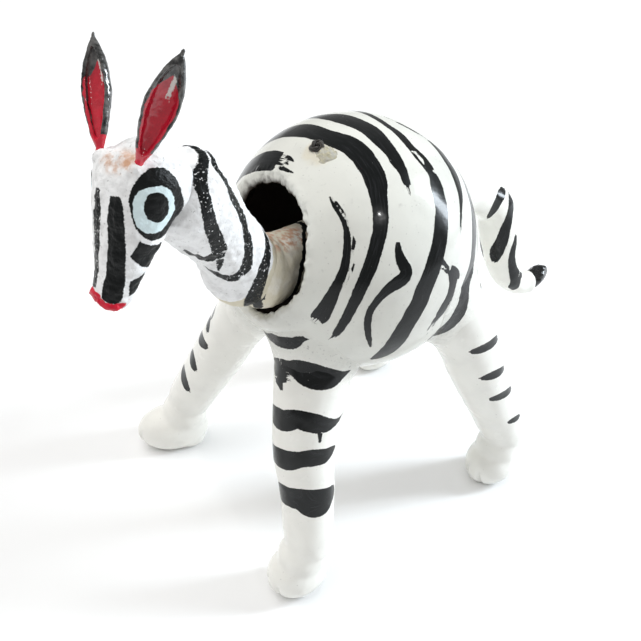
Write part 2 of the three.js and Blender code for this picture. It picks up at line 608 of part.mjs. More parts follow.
// Everything that hangs on the thread, about the pivot.
function hangingGroup() {
  const group = new THREE.Group();
  group.position.copy(PIVOT);
  group.rotation.z = THREE.MathUtils.degToRad(HEAD_TURN);
  const { places, mouthPlace } = neckAxis();
  const axis = new THREE.CatmullRomCurve3(places, false, 'centripetal');
  const length = axis.getLength();
  const lengths = axis.getLengths(AXIS_FINENESS * (places.length - 1));
  const neckLength = lengths[AXIS_FINENESS * mouthPlace];
  const headEnd = places[0];

  const weightPlace = counterweightPlace();
  const wirePlaces = [
    new THREE.Vector3(0, headEnd.y - 0.72 * WIRE_IN_HEAD, headEnd.z + 0.7 * WIRE_IN_HEAD),
    ...places,
    new THREE.Vector3(0, 0.55 * weightPlace.y + 0.45 * PLUG_BEHIND_LOOP, 0.8 * weightPlace.z),
    weightPlace,
  ];
  const wire = solid(barAlong(wirePlaces, WIRE_RADIUS));
  const wireBore = solid(barAlong(lengthened(wirePlaces, SEAT_GAP), WIRE_RADIUS + SEAT_GAP));

  const headPlace = headEnd.clone().setX(HEAD_ASIDE);
  const headBore = wireBore.translate([-headPlace.x, -headPlace.y, -headPlace.z]);
  const { group: head, around } = headGroup(headBore);
  head.position.copy(headPlace);
  const headRoom = around.transform(asRows(new THREE.Matrix4().makeRotationY(head.rotation.y)))
    .translate([headPlace.x, headPlace.y, headPlace.z]);

  const neckProfile = [
    [0, -0.5 * NECK_HEAD_RADIUS],
    [0.6 * NECK_HEAD_RADIUS, -0.4 * NECK_HEAD_RADIUS],
    [0.9 * NECK_HEAD_RADIUS, -0.15 * NECK_HEAD_RADIUS],
    [NECK_HEAD_RADIUS, 0.05 * neckLength],
    [0.96 * NECK_HEAD_RADIUS, 0.13 * neckLength],
    [0.7 * NECK_HEAD_RADIUS + 0.3 * NECK_MIDDLE_RADIUS, 0.22 * neckLength],
    [0.3 * NECK_HEAD_RADIUS + 0.7 * NECK_MIDDLE_RADIUS, 0.36 * neckLength],
    [NECK_MIDDLE_RADIUS, 0.5 * neckLength],
    [NECK_MIDDLE_RADIUS, 0.65 * neckLength],
    [0.5 * (NECK_MIDDLE_RADIUS + NECK_MOUTH_RADIUS), 0.8 * neckLength],
    [NECK_MOUTH_RADIUS, 0.92 * neckLength],
    [NECK_MOUTH_RADIUS, neckLength],
    [0, neckLength],
  ];
  const neck = solid(bent(turned(neckProfile), axis)).subtract(headRoom).subtract(wireBore);

  const plugStart = neckLength + 2 * SEAT_GAP;
  const plugProfile = [
    [0, plugStart],
    [PLUG_RADIUS, plugStart],
    [PLUG_RADIUS, 0.75 * plugStart + 0.25 * length],
    [PLUG_RADIUS, 0.5 * plugStart + 0.5 * length],
    [PLUG_RADIUS, length - PLUG_ROUND],
    [PLUG_RADIUS - 0.3 * PLUG_ROUND, length - 0.3 * PLUG_ROUND],
    [PLUG_RADIUS - PLUG_ROUND, length],
    [0, length],
  ];
  const shankHole = pin(EYE_WIRE + SEAT_GAP, -EYE_SHANK - SEAT_GAP, EYE_WIRE).rotateX(Math.PI / 2);
  const plug = solid(bent(turned(plugProfile), axis))
    .subtract(wireBore)
    .subtract(solid(shankHole.translate(0, 0, EYE_BOTTOM)));

  const ring = new THREE.TorusGeometry(EYE_RADIUS, EYE_WIRE, CORD_SIDES, 16).rotateY(Math.PI / 2);
  const shank = pin(EYE_WIRE, -EYE_SHANK, 1.5 * EYE_WIRE).rotateX(Math.PI / 2).translate(0, 0, EYE_BOTTOM);
  const eye = solid(ring.translate(0, 0, EYE_CENTRE)).add(solid(shank));

  const loopRing = new THREE.TorusGeometry(LOOP_RADIUS, THREAD_RADIUS, CORD_SIDES, 16).rotateX(Math.PI / 2);
  const loopKnot = ball(LOOP_KNOT_RADIUS, new THREE.Vector3(0, 0, LOOP_TOP - LOOP_KNOT_RADIUS), 12);
  const loop = solid(loopRing.translate(0, 0, LOOP_RADIUS)).add(solid(loopKnot));

  const weight = solid(ball(COUNTERWEIGHT_RADIUS, weightPlace)).subtract(wireBore);

  group.add(
    head,
    piece('neck', neck, FINISHES.roughPaste),
    piece('neck_plug', plug, FINISHES.plug),
    piece('neck_wire', wire, FINISHES.wire),
    piece('counterweight', weight, FINISHES.weight),
    piece('thread_eye', eye, FINISHES.wire),
    piece('thread_loop', loop, FINISHES.thread),
  );
  return group;
}

// Straight length of thread between the knot and the loop.
function hangingThread() {
  const bottom = PIVOT.z + LOOP_TOP + SEAT_GAP;
  const top = THREAD_HOLE.z - SEAT_GAP;
  const thread = pin(THREAD_RADIUS, 0, top - bottom).rotateX(Math.PI / 2).translate(PIVOT.x, PIVOT.y, bottom);
  return piece('hanging_thread', solid(thread), FINISHES.thread);
}

const figurine = new THREE.Group();
const legs = [
  legParts('front_left', FRONT_LEFT_LEG, LEFT),
  legParts('front_right', FRONT_RIGHT_LEG, RIGHT),
  legParts('rear_left', REAR_LEG, LEFT),
  legParts('rear_right', REAR_LEG, RIGHT),
];
const tail = tailParts();
figurine.add(gourdShell([...legs, tail].map(({ pegHole }) => pegHole)));
for (const { meshes } of [...legs, tail]) figurine.add(...meshes);
figurine.add(...knotParts(), hangingThread(), hangingGroup());

// The origin is on the floor, under the middle of the figurine's width and length.
const extent = new THREE.Box3().setFromObject(figurine, true);
figurine.position.x = -(extent.min.x + extent.max.x) / 2;
figurine.position.y = -(extent.min.y + extent.max.y) / 2;

export default figurine;
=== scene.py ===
"""Gourd zebra figurine: the finish of its painted gourd, legs, tail, neck, head and ears.

Shapes are worked out in millimetres and turned to metres when a piece is finished.
The animal faces -Y and its left side is +X.
"""

import json
import math
from collections import namedtuple

import bmesh
import bpy
import numpy as np
from bpy.props import FloatProperty, FloatVectorProperty, PointerProperty
from mathutils import Matrix, Vector, noise


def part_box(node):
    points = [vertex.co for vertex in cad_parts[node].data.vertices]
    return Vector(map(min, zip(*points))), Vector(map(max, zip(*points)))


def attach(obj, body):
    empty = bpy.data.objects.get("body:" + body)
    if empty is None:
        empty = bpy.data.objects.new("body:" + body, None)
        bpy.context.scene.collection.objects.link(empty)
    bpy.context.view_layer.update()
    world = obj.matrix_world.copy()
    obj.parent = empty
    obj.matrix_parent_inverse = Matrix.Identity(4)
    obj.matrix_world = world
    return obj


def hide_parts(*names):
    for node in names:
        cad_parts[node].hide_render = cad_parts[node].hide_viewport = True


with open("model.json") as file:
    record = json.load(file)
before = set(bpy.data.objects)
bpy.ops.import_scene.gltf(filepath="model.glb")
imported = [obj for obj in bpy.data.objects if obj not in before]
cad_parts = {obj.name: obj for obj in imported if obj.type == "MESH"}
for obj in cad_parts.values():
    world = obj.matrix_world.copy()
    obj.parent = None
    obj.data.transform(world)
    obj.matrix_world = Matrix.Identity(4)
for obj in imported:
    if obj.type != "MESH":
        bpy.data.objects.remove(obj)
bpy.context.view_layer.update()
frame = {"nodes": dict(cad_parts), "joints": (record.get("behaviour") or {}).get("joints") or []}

bl_info = {
    "name": "Gourd Zebra Figurine",
    "version": (1, 0, 0),
    "blender": (4, 5, 0),
    "location": "3D View > Sidebar > Figurine",
    "description": "Builds the painted pieces of a gourd zebra figurine round its frame",
    "category": "Object",
}

MM = 0.001
LEFT = 1
RIGHT = -1
FAR_OUTSIDE = -2.0
STROKE_STEP = 1.5
OUTLINE_STEP = 0.4
# How far the bristle marks of each stroke are shifted, so that no two strokes look the same
NEXT_ALONG = 40
NEXT_ACROSS = 7
# How far behind an outline's rearmost corner, and beside it, its paint is worked out
BLOT_DEPTH = 6
BLOT_MARGIN = 2
# Degrees from the top of the neck that count as near it
NEAR_TOP = 33

# Places that the frame gives, in millimetres
JOINTS = {joint["name"]: joint for joint in frame["joints"]}
THREAD_TOP = Vector(JOINTS["thread_swing"]["pos_m"]) / MM
PIVOT = Vector(JOINTS["head_nod"]["pos_m"]) / MM
NOD_AXIS = Vector(JOINTS["head_nod"]["axis"])
HEAD_TURN = math.atan2(NOD_AXIS.y, NOD_AXIS.x)
THREAD_HOLE_ANGLE = math.radians(21.1)
SEAT_GAP = 0.3
SEAT_DEPTH = 0.9
HOLE_RADIUS = 1.1
THREAD_TURNS = 5


def length_property(name, description, millimetres):
    """A size that the panel shows as a length."""
    return FloatProperty(
        name=name,
        description=description,
        default=millimetres * MM,
        min=0,
        precision=5,
        subtype="DISTANCE",
        unit="LENGTH",
    )


def angle_property(name, description, degrees):
    """A direction or turn that the panel shows as an angle."""
    return FloatProperty(
        name=name,
        description=description,
        default=math.radians(degrees),
        subtype="ANGLE",
        unit="ROTATION",
    )


def colour_property(name, description, red, green, blue):
    """A colour that the panel shows as a swatch."""
    return FloatVectorProperty(
        name=name,
        description=description,
        default=(red, green, blue, 1),
        size=4,
        min=0,
        max=1,
        subtype="COLOR",
    )


class BodySettings(bpy.types.PropertyGroup):
    """Sizes of the gourd body."""

    radius: length_property("Radius", "Outside radius of the gourd", 26)
    wall: length_property("Wall", "Thickness of the gourd's wall", 2)
    mouth_radius: length_property("Mouth radius", "Radius of the round opening in front", 12.6)
    mouth_angle: angle_property("Mouth angle", "Tip of the opening from the top to the front", 69.5)
    lumps: length_property("Lumps", "How far the gourd is from a true ball", 0.14)
    chips: length_property("Chips", "How rough the cut edge of the opening is", 0.42)


class LegSettings(bpy.types.PropertyGroup):
    """Sizes of the legs and of the paste round their tops."""

    radius: length_property("Radius", "Radius of a leg under the body", 6.1)
    ankle_radius: length_property("Ankle radius", "Radius of a leg above its foot", 5.3)
    ankle_height: length_property("Ankle height", "Height of the ankle above the floor", 14)
    heel_radius: length_property("Heel radius", "Radius of the heel", 5)
    foot_length: length_property("Foot length", "Length of a foot", 14.2)
    foot_width: length_property("Foot width", "Width of a foot", 11.8)
    foot_height: length_property("Foot height", "Height of a foot", 12)
    flare: length_property("Flare", "How far the paste spreads over the gourd", 2.5)
    collar_height: length_property("Collar height", "How far the paste runs down a leg", 10)


class TailSettings(bpy.types.PropertyGroup):
    """Sizes of the tail and its tuft."""

    root_radius: length_property("Root radius", "Radius where the tail meets the gourd", 5)
    radius: length_property("Radius", "Radius in the middle of the tail", 4.6)
    end_radius: length_property("End radius", "Radius at the tail's end", 2.7)
    tuft_radius: length_property("Tuft radius", "Radius of the black knob", 2.3)
    tuft_length: length_property("Tuft length", "Length of the black knob", 6)


class NeckSettings(bpy.types.PropertyGroup):
    """Sizes of the neck and of the plug that hangs in the gourd's mouth."""

    head_radius: length_property("Head end radius", "Radius of the neck behind the head", 7.8)
    middle_radius: length_property("Middle radius", "Radius of the neck at its middle", 6.5)
    mouth_radius: length_property("Mouth end radius", "Radius of the neck at the gourd", 6.3)
    plug_radius: length_property("Plug radius", "Radius of the plug", 6)
    roughness: length_property("Roughness", "Height of the bumps of the paste", 0.2)


class HeadSettings(bpy.types.PropertyGroup):
    """Sizes of the head."""

    skull_radius: length_property("Skull radius", "Radius of the skull", 6.8)
    muzzle_radius: length_property("Muzzle radius", "Radius of the muzzle under the eyes", 6.1)
    muzzle_tip: length_property("Muzzle tip", "Radius of the muzzle at the mouth", 2.7)
    muzzle_length: length_property("Muzzle length", "Length of the muzzle", 21.4)
    tilt: angle_property("Tilt", "Sideways tilt of the head", -10.5)


class EarSettings(bpy.types.PropertyGroup):
    """Sizes and directions of the ears."""

    length: length_property("Length", "Length of an ear", 15.7)
    width: length_property("Width", "Width of an ear", 5.2)
    depth: length_property("Depth", "Depth of an ear's cup", 3.8)
    wall: length_property("Wall", "Thickness of an ear", 0.7)
    lean_out: angle_property("Lean out", "Lean of an ear to its side", 21)
    lean_back: angle_property("Lean back", "Lean of an ear to the back", 24)
    turn: angle_property("Turn", "Turn of both cups to the animal's left", 31)
    turn_out: angle_property("Turn out", "Turn of each cup to its own side", 11)


class ThreadSettings(bpy.types.PropertyGroup):
    """Sizes of the thread, its knot and the glue on it."""

    radius: length_property("Thread radius", "Radius of the hanging thread", 0.35)
    loop_radius: length_property("Loop radius", "Radius of the loop that holds the eye", 1.6)
    knot_radius: length_property("Knot radius", "Radius of the knot on the gourd", 1.1)
    bead_radius: length_property("Glue radius", "Radius of the drop of glue", 1.2)


class PaintSettings(bpy.types.PropertyGroup):
    """Colours of the paints and bare materials."""

    white: colour_property("White", "Gloss white of gourd, legs and tail", 0.86, 0.85, 0.80)
    # Darker than the white: partly the duller old paint of the gourd, partly painted shade that stands in
    # for the shade over the gourd's body
    aged_and_shaded: colour_property("Aged white", "Duller white of the gourd", 0.70, 0.70, 0.65)
    chalk: colour_property("Chalk", "Rough white of neck and head", 0.86, 0.86, 0.86)
    grime: colour_property("Grime", "Grey dirt in hollows and joints", 0.30, 0.29, 0.28)
    black: colour_property("Black", "Black paint of the stripes", 0.003, 0.004, 0.004)
    worn_black: colour_property("Worn black", "Thin or rubbed black paint", 0.03, 0.031, 0.034)
    red: colour_property("Red", "Red of ears and mouth", 0.6, 0.012, 0.035)
    ring: colour_property("Eye ring", "Pale blue-white round the pupil", 0.66, 0.78, 0.80)
    cream: colour_property("Cream", "Cream of the neck's plug", 0.66, 0.61, 0.48)
    tan: colour_property("Tan", "Pinkish brown of bare paste", 0.55, 0.33, 0.22)
    # Near black: partly the dark dry skin inside the gourd, partly painted shade in the hollow body
    inside: colour_property("Gourd inside", "Dark dry skin inside the gourd", 0.05, 0.04, 0.035)
    wood: colour_property("Wood", "Bare wood of the pegs", 0.50, 0.33, 0.17)
    thread: colour_property("Thread", "Dark thread", 0.03, 0.025, 0.02)
    glue: colour_property("Glue", "Clear yellowish glue", 0.80, 0.76, 0.58)
    steel: colour_property("Steel", "Wire of the eye and the neck", 0.50, 0.50, 0.51)
    lead: colour_property("Weight", "Dull metal of the counterweight", 0.16, 0.16, 0.17)


class StageSettings(bpy.types.PropertyGroup):
    """Viewing angle, floor and lights."""

    azimuth: angle_property("Azimuth", "Camera's turn from the front to the left", 53.02)
    elevation: angle_property("Elevation", "Camera's height above the level", 40)
    roll: angle_property("Roll", "Camera's roll", 2.99)
    distance: length_property("Distance", "Camera's distance from its target", 209.58)
    lens: FloatProperty(name="Lens", description="Focal length in millimetres", default=49.76)
    floor: colour_property("Floor", "Pale floor", 0.90, 0.90, 0.90)
    sky: colour_property("Sky", "Soft light from all round", 1, 1, 1)


class FigurineSettings(bpy.types.PropertyGroup):
    """All sizes and colours of the figurine."""

    body: PointerProperty(type=BodySettings)
    legs: PointerProperty(type=LegSettings)
    tail: PointerProperty(type=TailSettings)
    neck: PointerProperty(type=NeckSettings)
    head: PointerProperty(type=HeadSettings)
    ears: PointerProperty(type=EarSettings)
    thread: PointerProperty(type=ThreadSettings)
    paint: PointerProperty(type=PaintSettings)
    stage: PointerProperty(type=StageSettings)


class Millimetres:
    """Reads a settings group with its lengths in millimetres."""

    def __init__(self, settings):
        self.settings = settings

    def __getattr__(self, name):
        return getattr(self.settings, name) / MM


# Curves and surfaces


class Route:
    """A smooth curve through a row of places, measured by its own length."""

    def __init__(self, places, fineness=40):
        rows = [np.array(place, float) for place in places]
        rows = [2 * rows[0] - rows[1], *rows, 2 * rows[-1] - rows[-2]]
        samples = []
        for before, start, end, after in zip(rows, rows[1:], rows[2:], rows[3:]):
            spans = [
                max(np.linalg.norm(b - a) ** 0.5, 1e-6)
                for a, b in ((before, start), (start, end), (end, after))
            ]
            leave = (start - before) / spans[0] - (end - before) / (spans[0] + spans[1])
            leave = (leave + (end - start) / spans[1]) * spans[1]
            arrive = (end - start) / spans[1] - (after - start) / (spans[1] + spans[2])
            arrive = (arrive + (after - end) / spans[2]) * spans[1]
            for t in np.arange(fineness) / fineness:
                curve = (2 * t**3 - 3 * t**2 + 1) * start + (t**3 - 2 * t**2 + t) * leave
                samples.append(curve + (3 * t**2 - 2 * t**3) * end + (t**3 - t**2) * arrive)
        samples.append(rows[-2])
        self.samples = np.array(samples)
        steps = np.linalg.norm(np.diff(self.samples, axis=0), axis=1)
        self.marks = np.concatenate([[0], np.cumsum(steps)])
        self.length = self.marks[-1]

    def at(self, along):
        """Places at these lengths along the curve, which runs on straight past its ends."""
        inside = np.clip(along, 0, self.length)
        columns = [np.interp(inside, self.marks, column) for column in self.samples.T]
        return np.stack(columns, axis=-1) + self.heading(inside) * (along - inside)[:, None]

    def heading(self, along):
        """Unit directions of the curve at these lengths."""
        reach = self.length / 400
        inside = np.clip(along, 0, self.length)
        ahead = np.clip(inside + reach, 0, self.length)
        behind = np.clip(inside - reach, 0, self.length)
        tangent = np.stack(
            [
                np.interp(ahead, self.marks, column) - np.interp(behind, self.marks, column)
                for column in self.samples.T
            ],
            axis=-1,
        )
        return tangent / np.linalg.norm(tangent, axis=1, keepdims=True)

    def evenly(self, spacing):
        """Places about this far apart along the whole curve."""
        count = max(2, round(self.length / spacing) + 1)
        return self.at(np.linspace(0, self.length, count))


class Limb:
    """A round limb along a route, with its surface places by length and by degrees round."""

    def __init__(self, route, paint_radius, facing=1, side=LEFT):
        self.route = route
        self.paint_radius = paint_radius
        self.facing = facing
        self.side = side

    def frames(self, along):
        """Middle, sideways and outward directions at these lengths."""
        tangent = self.route.heading(along)
        sideways = np.array([1.0, 0, 0]) - tangent * tangent[:, :1]
        sideways /= np.linalg.norm(sideways, axis=1, keepdims=True)
        return self.route.at(along), sideways, np.cross(tangent, sideways)

    def bend(self, points):
        """Points of a shape built along +Z, moved so that its axis follows the route."""
        middle, sideways, across = self.frames(points[:, 2])
        return middle + sideways * points[:, :1] + across * points[:, 1:2]

    def unrolled(self, points):
        """Straightened places of points of the unbent shape, all on one round bar."""
        angle = np.arctan2(self.side * points[:, 0], -self.facing * points[:, 1])
        return self.place(points[:, 2], np.degrees(angle))

    def place(self, along, degrees):
        """Straightened place of a spot by its length and its degrees round."""
        angle = np.radians(degrees)
        radius = self.paint_radius
        return np.stack([radius * np.sin(angle), radius * np.cos(angle), along], axis=-1)


def ball_place(radius):
    """Places on a ball by degrees from the front pole and degrees round from the top."""

    def place(from_front, round_top):
        a = np.radians(from_front)
        r = np.radians(round_top)
        return radius * np.stack([np.sin(a) * np.sin(r), -np.cos(a), np.sin(a) * np.cos(r)], -1)

    return place


# Shapes


def spun(profile, steps, closed=False):
    """Shape turned about +Z from pairs of radius and height."""
    bm = bmesh.new()
    verts = [bm.verts.new((radius, 0, height)) for radius, height in profile]
    pairs = list(zip(verts, verts[1:]))
    if closed:
        pairs.append((verts[-1], verts[0]))
    edges = [bm.edges.new(pair) for pair in pairs]
    bmesh.ops.spin(
        bm,
        geom=verts + edges,
        axis=(0, 0, 1),
        angle=2 * math.pi,
        steps=steps,
        use_merge=True,
    )
    bmesh.ops.remove_doubles(bm, verts=bm.verts, dist=1e-4)
    bmesh.ops.recalc_face_normals(bm, faces=bm.faces)
    return bm


def smooth_profile(corners, spacing):
    """Points about this far apart on a smooth outline through the corners, never past the axis."""
    points = Route([(radius, 0, height) for radius, height in corners]).evenly(spacing)
    points[0, 0] = corners[0][0]
    points[-1, 0] = corners[-1][0]
    return [(max(0.0, radius), height) for radius, _, height in points]


def positions(bm):
    """Places of the vertices as rows."""
    return np.array([vert.co[:] for vert in bm.verts])


def normals_of(bm):
    """Outward directions at the vertices as rows."""
    return np.array([vert.normal[:] for vert in bm.verts])


def move_to(bm, points):
    """Moves each vertex to its row of the points."""
    for vert, point in zip(bm.verts, points):
        vert.co = point
    bm.normal_update()


def ball(radius, centre, scale=(1, 1, 1)):
    """Round ball, stretched by its scale."""
    bm = bmesh.new()
    bmesh.ops.create_icosphere(bm, subdivisions=5, radius=radius)
    bmesh.ops.scale(bm, vec=scale, verts=bm.verts)
    bmesh.ops.translate(bm, vec=centre, verts=bm.verts)
    return bm


def cut_off(bm, place, direction):
    """Takes away what lies beyond a plane, and leaves the cut open."""
    whole = bm.verts[:] + bm.edges[:] + bm.faces[:]
    bmesh.ops.bisect_plane(bm, geom=whole, plane_co=place, plane_no=direction, clear_outer=True)


def aimed(bm, start, direction):
    """Turns a shape built along +Z so that it starts at a point and runs in a direction."""
    turn = Vector((0, 0, 1)).rotation_difference(direction).to_matrix().to_4x4()
    bm.transform(Matrix.Translation(start) @ turn)
    return bm


def swept(points, radius, sides):
    """Round bar through a row of points, by drawing a ring of edges from each point to the next."""
    route = Route(points)
    spots = np.linspace(0, route.length, len(points) * 4)
    middles = route.at(spots)
    headings = route.heading(spots)
    bm = bmesh.new()
    ring = bmesh.ops.create_circle(bm, segments=sides, radius=radius)["verts"]
    rounded = [vert.co.copy() for vert in ring]
    turn = Vector((0, 0, 1)).rotation_difference(Vector(headings[0]))
    first = ring
    for index, (middle, heading) in enumerate(zip(middles, headings)):
        if index:
            previous = Vector(headings[index - 1])
            turn = previous.rotation_difference(Vector(heading)) @ turn
            edges = [edge for edge in bm.edges if edge.verts[0] in ring and edge.verts[1] in ring]
            grown = bmesh.ops.extrude_edge_only(bm, edges=edges)["geom"]
            fresh = [item for item in grown if isinstance(item, bmesh.types.BMVert)]
            ring = [min(fresh, key=lambda v, p=old.co.copy(): (v.co - p).length) for old in ring]
        for vert, spot in zip(ring, rounded):
            vert.co = Vector(middle) + turn @ spot
    for loop in (first, ring):
        bmesh.ops.contextual_create(bm, geom=loop)
    bmesh.ops.recalc_face_normals(bm, faces=bm.faces)
    return bm


def mesh_of(bm, name):
    """The shape as a mesh of Blender."""
    mesh = bpy.data.meshes.new(name)
    bm.to_mesh(mesh)
    bm.free()
    return mesh


def linked(name, data):
    """A new object in the scene."""
    item = bpy.data.objects.new(name, data)
    bpy.context.scene.collection.objects.link(item)
    return item


def joined(*shapes):
    """One mesh that holds several shapes."""
    whole = bmesh.new()
    for shape in shapes:
        part = mesh_of(shape, "part")
        whole.from_mesh(part)
        bpy.data.meshes.remove(part)
    return whole


def moulded(bm, voxel, smoothing):
    """Fuses overlapping closed shapes into one skin and smooths it."""
    rough = mesh_of(bm, "rough")
    holder = linked("rough", rough)
    remesh = holder.modifiers.new("skin", "REMESH")
    remesh.mode = "VOXEL"
    remesh.voxel_size = voxel
    bpy.context.view_layer.update()
    depsgraph = bpy.context.evaluated_depsgraph_get()
    skin = bpy.data.meshes.new_from_object(holder.evaluated_get(depsgraph))
    bpy.data.objects.remove(holder)
    bpy.data.meshes.remove(rough)
    fused = bmesh.new()
    fused.from_mesh(skin)
    bpy.data.meshes.remove(skin)
    evened(fused, smoothing)
    fused.normal_update()
    return fused


def evened(bm, passes):
    """Moves each vertex halfway to the middle of its neighbours, this many times."""
    axes = {"use_axis_x": True, "use_axis_y": True, "use_axis_z": True}
    for _ in range(passes):
        bmesh.ops.smooth_vert(bm, verts=bm.verts, factor=0.5, **axes)


def roughened(bm, height, size, seed, share=None):
    """Moves the surface in and out by noise; size is the width of a bump in millimetres."""
    bm.normal_update()
    shift = Vector((seed, 2.7 * seed, 5.1 * seed))
    moves = []
    for index, vert in enumerate(bm.verts):
        lift = noise.fractal(vert.co / size + shift, 1.0, 2.0, 3) * height
        if share is not None:
            lift *= share[index]
        moves.append(vert.normal * lift)
    for vert, step in zip(bm.verts, moves):
        vert.co += step
    bm.normal_update()


def smoothly(value, low, high):
    """0 below low, 1 above high, and a soft step between."""
    share = np.clip((value - low) / (high - low), 0, 1)
    return share * share * (3 - 2 * share)


# Brush strokes: a line of spots with its width in millimetres at each, and how many
# millimetres at its start and end were painted with a dry brush
Stroke = namedtuple("Stroke", "spots dry")


def brush(*spots, dry=(0, 0)):
    """A stroke through these spots."""
    return Stroke(spots, dry)


class Coat:
    """What was painted on a piece, as numbers at each vertex."""

    def __init__(self, bm):
        self.layers = {}
        self.points = positions(bm)
        self.normals = normals_of(bm)

    def layer(self, name, empty=0.0):
        """The numbers of a layer, which is made when it is first asked for."""
        return self.layers.setdefault(name, np.full(len(self.points), empty))

    def strokes(self, name, points, strokes, place):
        """Adds strokes: depth inside the nearest one, place along and across it, and dryness.

        Points are the vertices' straightened places, and place turns a stroke's spots into such.
        """
        depth = self.layer(name, FAR_OUTSIDE)
        along = self.layer(name + "_along")
        across = self.layer(name + "_across")
        dry = self.layer(name + "_dry")
        for number, stroke in enumerate(strokes):
            spots = np.array(stroke.spots, float)
            rows = Route(spots).evenly(STROKE_STEP)
            line = place(rows[:, 0], rows[:, 1])
            widths = np.clip(rows[:, 2], 0, None)
            marks = np.concatenate([[0], np.cumsum(np.linalg.norm(np.diff(line, axis=0), axis=1))])
            margin = widths.max() / 2 - FAR_OUTSIDE
            near = np.all((points > line.min(0) - margin) & (points < line.max(0) + margin), axis=1)
            near = np.flatnonzero(near)
            for index in range(len(line) - 1):
                start, end = line[index], line[index + 1]
                step = end - start
                length = np.linalg.norm(step)
                if length < 1e-6:
                    continue
                reach = points[near] - start
                share = np.clip(reach @ step / length**2, 0, 1)
                away = reach - share[:, None] * step
                half = (widths[index] + share * (widths[index + 1] - widths[index])) / 2
                inside = half - np.linalg.norm(away, axis=1)
                better = inside > depth[near]
                chosen = near[better]
                depth[chosen] = inside[better]
                run = marks[index] + share[better] * length
                along[chosen] = run + NEXT_ALONG * number
                leftward = np.cross(self.normals[chosen], step / length)
                aside = np.sum(away[better] * leftward, axis=1)
                across[chosen] = aside + NEXT_ACROSS * number
                start_dry, end_dry = stroke.dry
                left = marks[-1] - run
                dry[chosen] = np.maximum(
                    np.clip(1 - run / max(start_dry, 1e-3), 0, 1),
                    np.clip(1 - left / max(end_dry, 1e-3), 0, 1),
                )

    def blot(self, name, outline, direction, rounded=True):
        """Adds a filled shape, painted along a direction on the surface that faces it."""
        depth = self.layer(name, FAR_OUTSIDE)
        toward = np.array(direction, float)
        toward /= np.linalg.norm(toward)
        sideways = np.cross([0, 0, 1], toward)
        sideways /= np.linalg.norm(sideways)
        axes = np.stack([sideways, np.cross(toward, sideways)], axis=1)
        corners = np.array(outline, float)
        flat = np.concatenate([corners @ axes, corners[:1] @ axes])
        if rounded:
            flat = Route(flat).evenly(OUTLINE_STEP)
        spots = self.points @ axes
        rearmost = (corners @ toward).min() - BLOT_DEPTH
        facing = (self.normals @ toward > 0) & (self.points @ toward > rearmost)
        low, high = flat.min(0) - BLOT_MARGIN, flat.max(0) + BLOT_MARGIN
        near = facing & np.all((spots > low) & (spots < high), axis=1)
        chosen = np.flatnonzero(near)
        nearest = np.full(len(chosen), np.inf)
        crossings = np.zeros(len(chosen), bool)
        x, y = spots[chosen].T
        for (x0, y0), (x1, y1) in zip(flat, flat[1:]):
            run, rise = x1 - x0, y1 - y0
            size = max(run * run + rise * rise, 1e-12)
            share = np.clip(((x - x0) * run + (y - y0) * rise) / size, 0, 1)
            nearest = np.minimum(nearest, np.hypot(x - x0 - share * run, y - y0 - share * rise))
            spans = (y0 > y) != (y1 > y)
            if rise:
                crossings ^= spans & (x < x0 + (y - y0) * run / rise)
        depth[chosen] = np.maximum(depth[chosen], np.where(crossings, nearest, -nearest))

    def write(self, mesh):
        """Stores the layers as attributes that the shaders read."""
        for name, values in self.layers.items():
            attribute = mesh.attributes.new(name, "FLOAT", "POINT")
            attribute.data.foreach_set("value", values.astype(np.float32))


def finished(bm, name, body, replaced, material, coat=None):
    """Makes the object in metres, gives it its paint and hangs it on its body."""
    mesh = mesh_of(bm, name)
    mesh.transform(Matrix.Scale(MM, 4))
    mesh.shade_smooth()
    if coat is not None:
        coat.write(mesh)
    mesh.materials.append(material)
    piece = linked(name, mesh)
    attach(piece, body)
    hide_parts(*replaced)


# Finishes


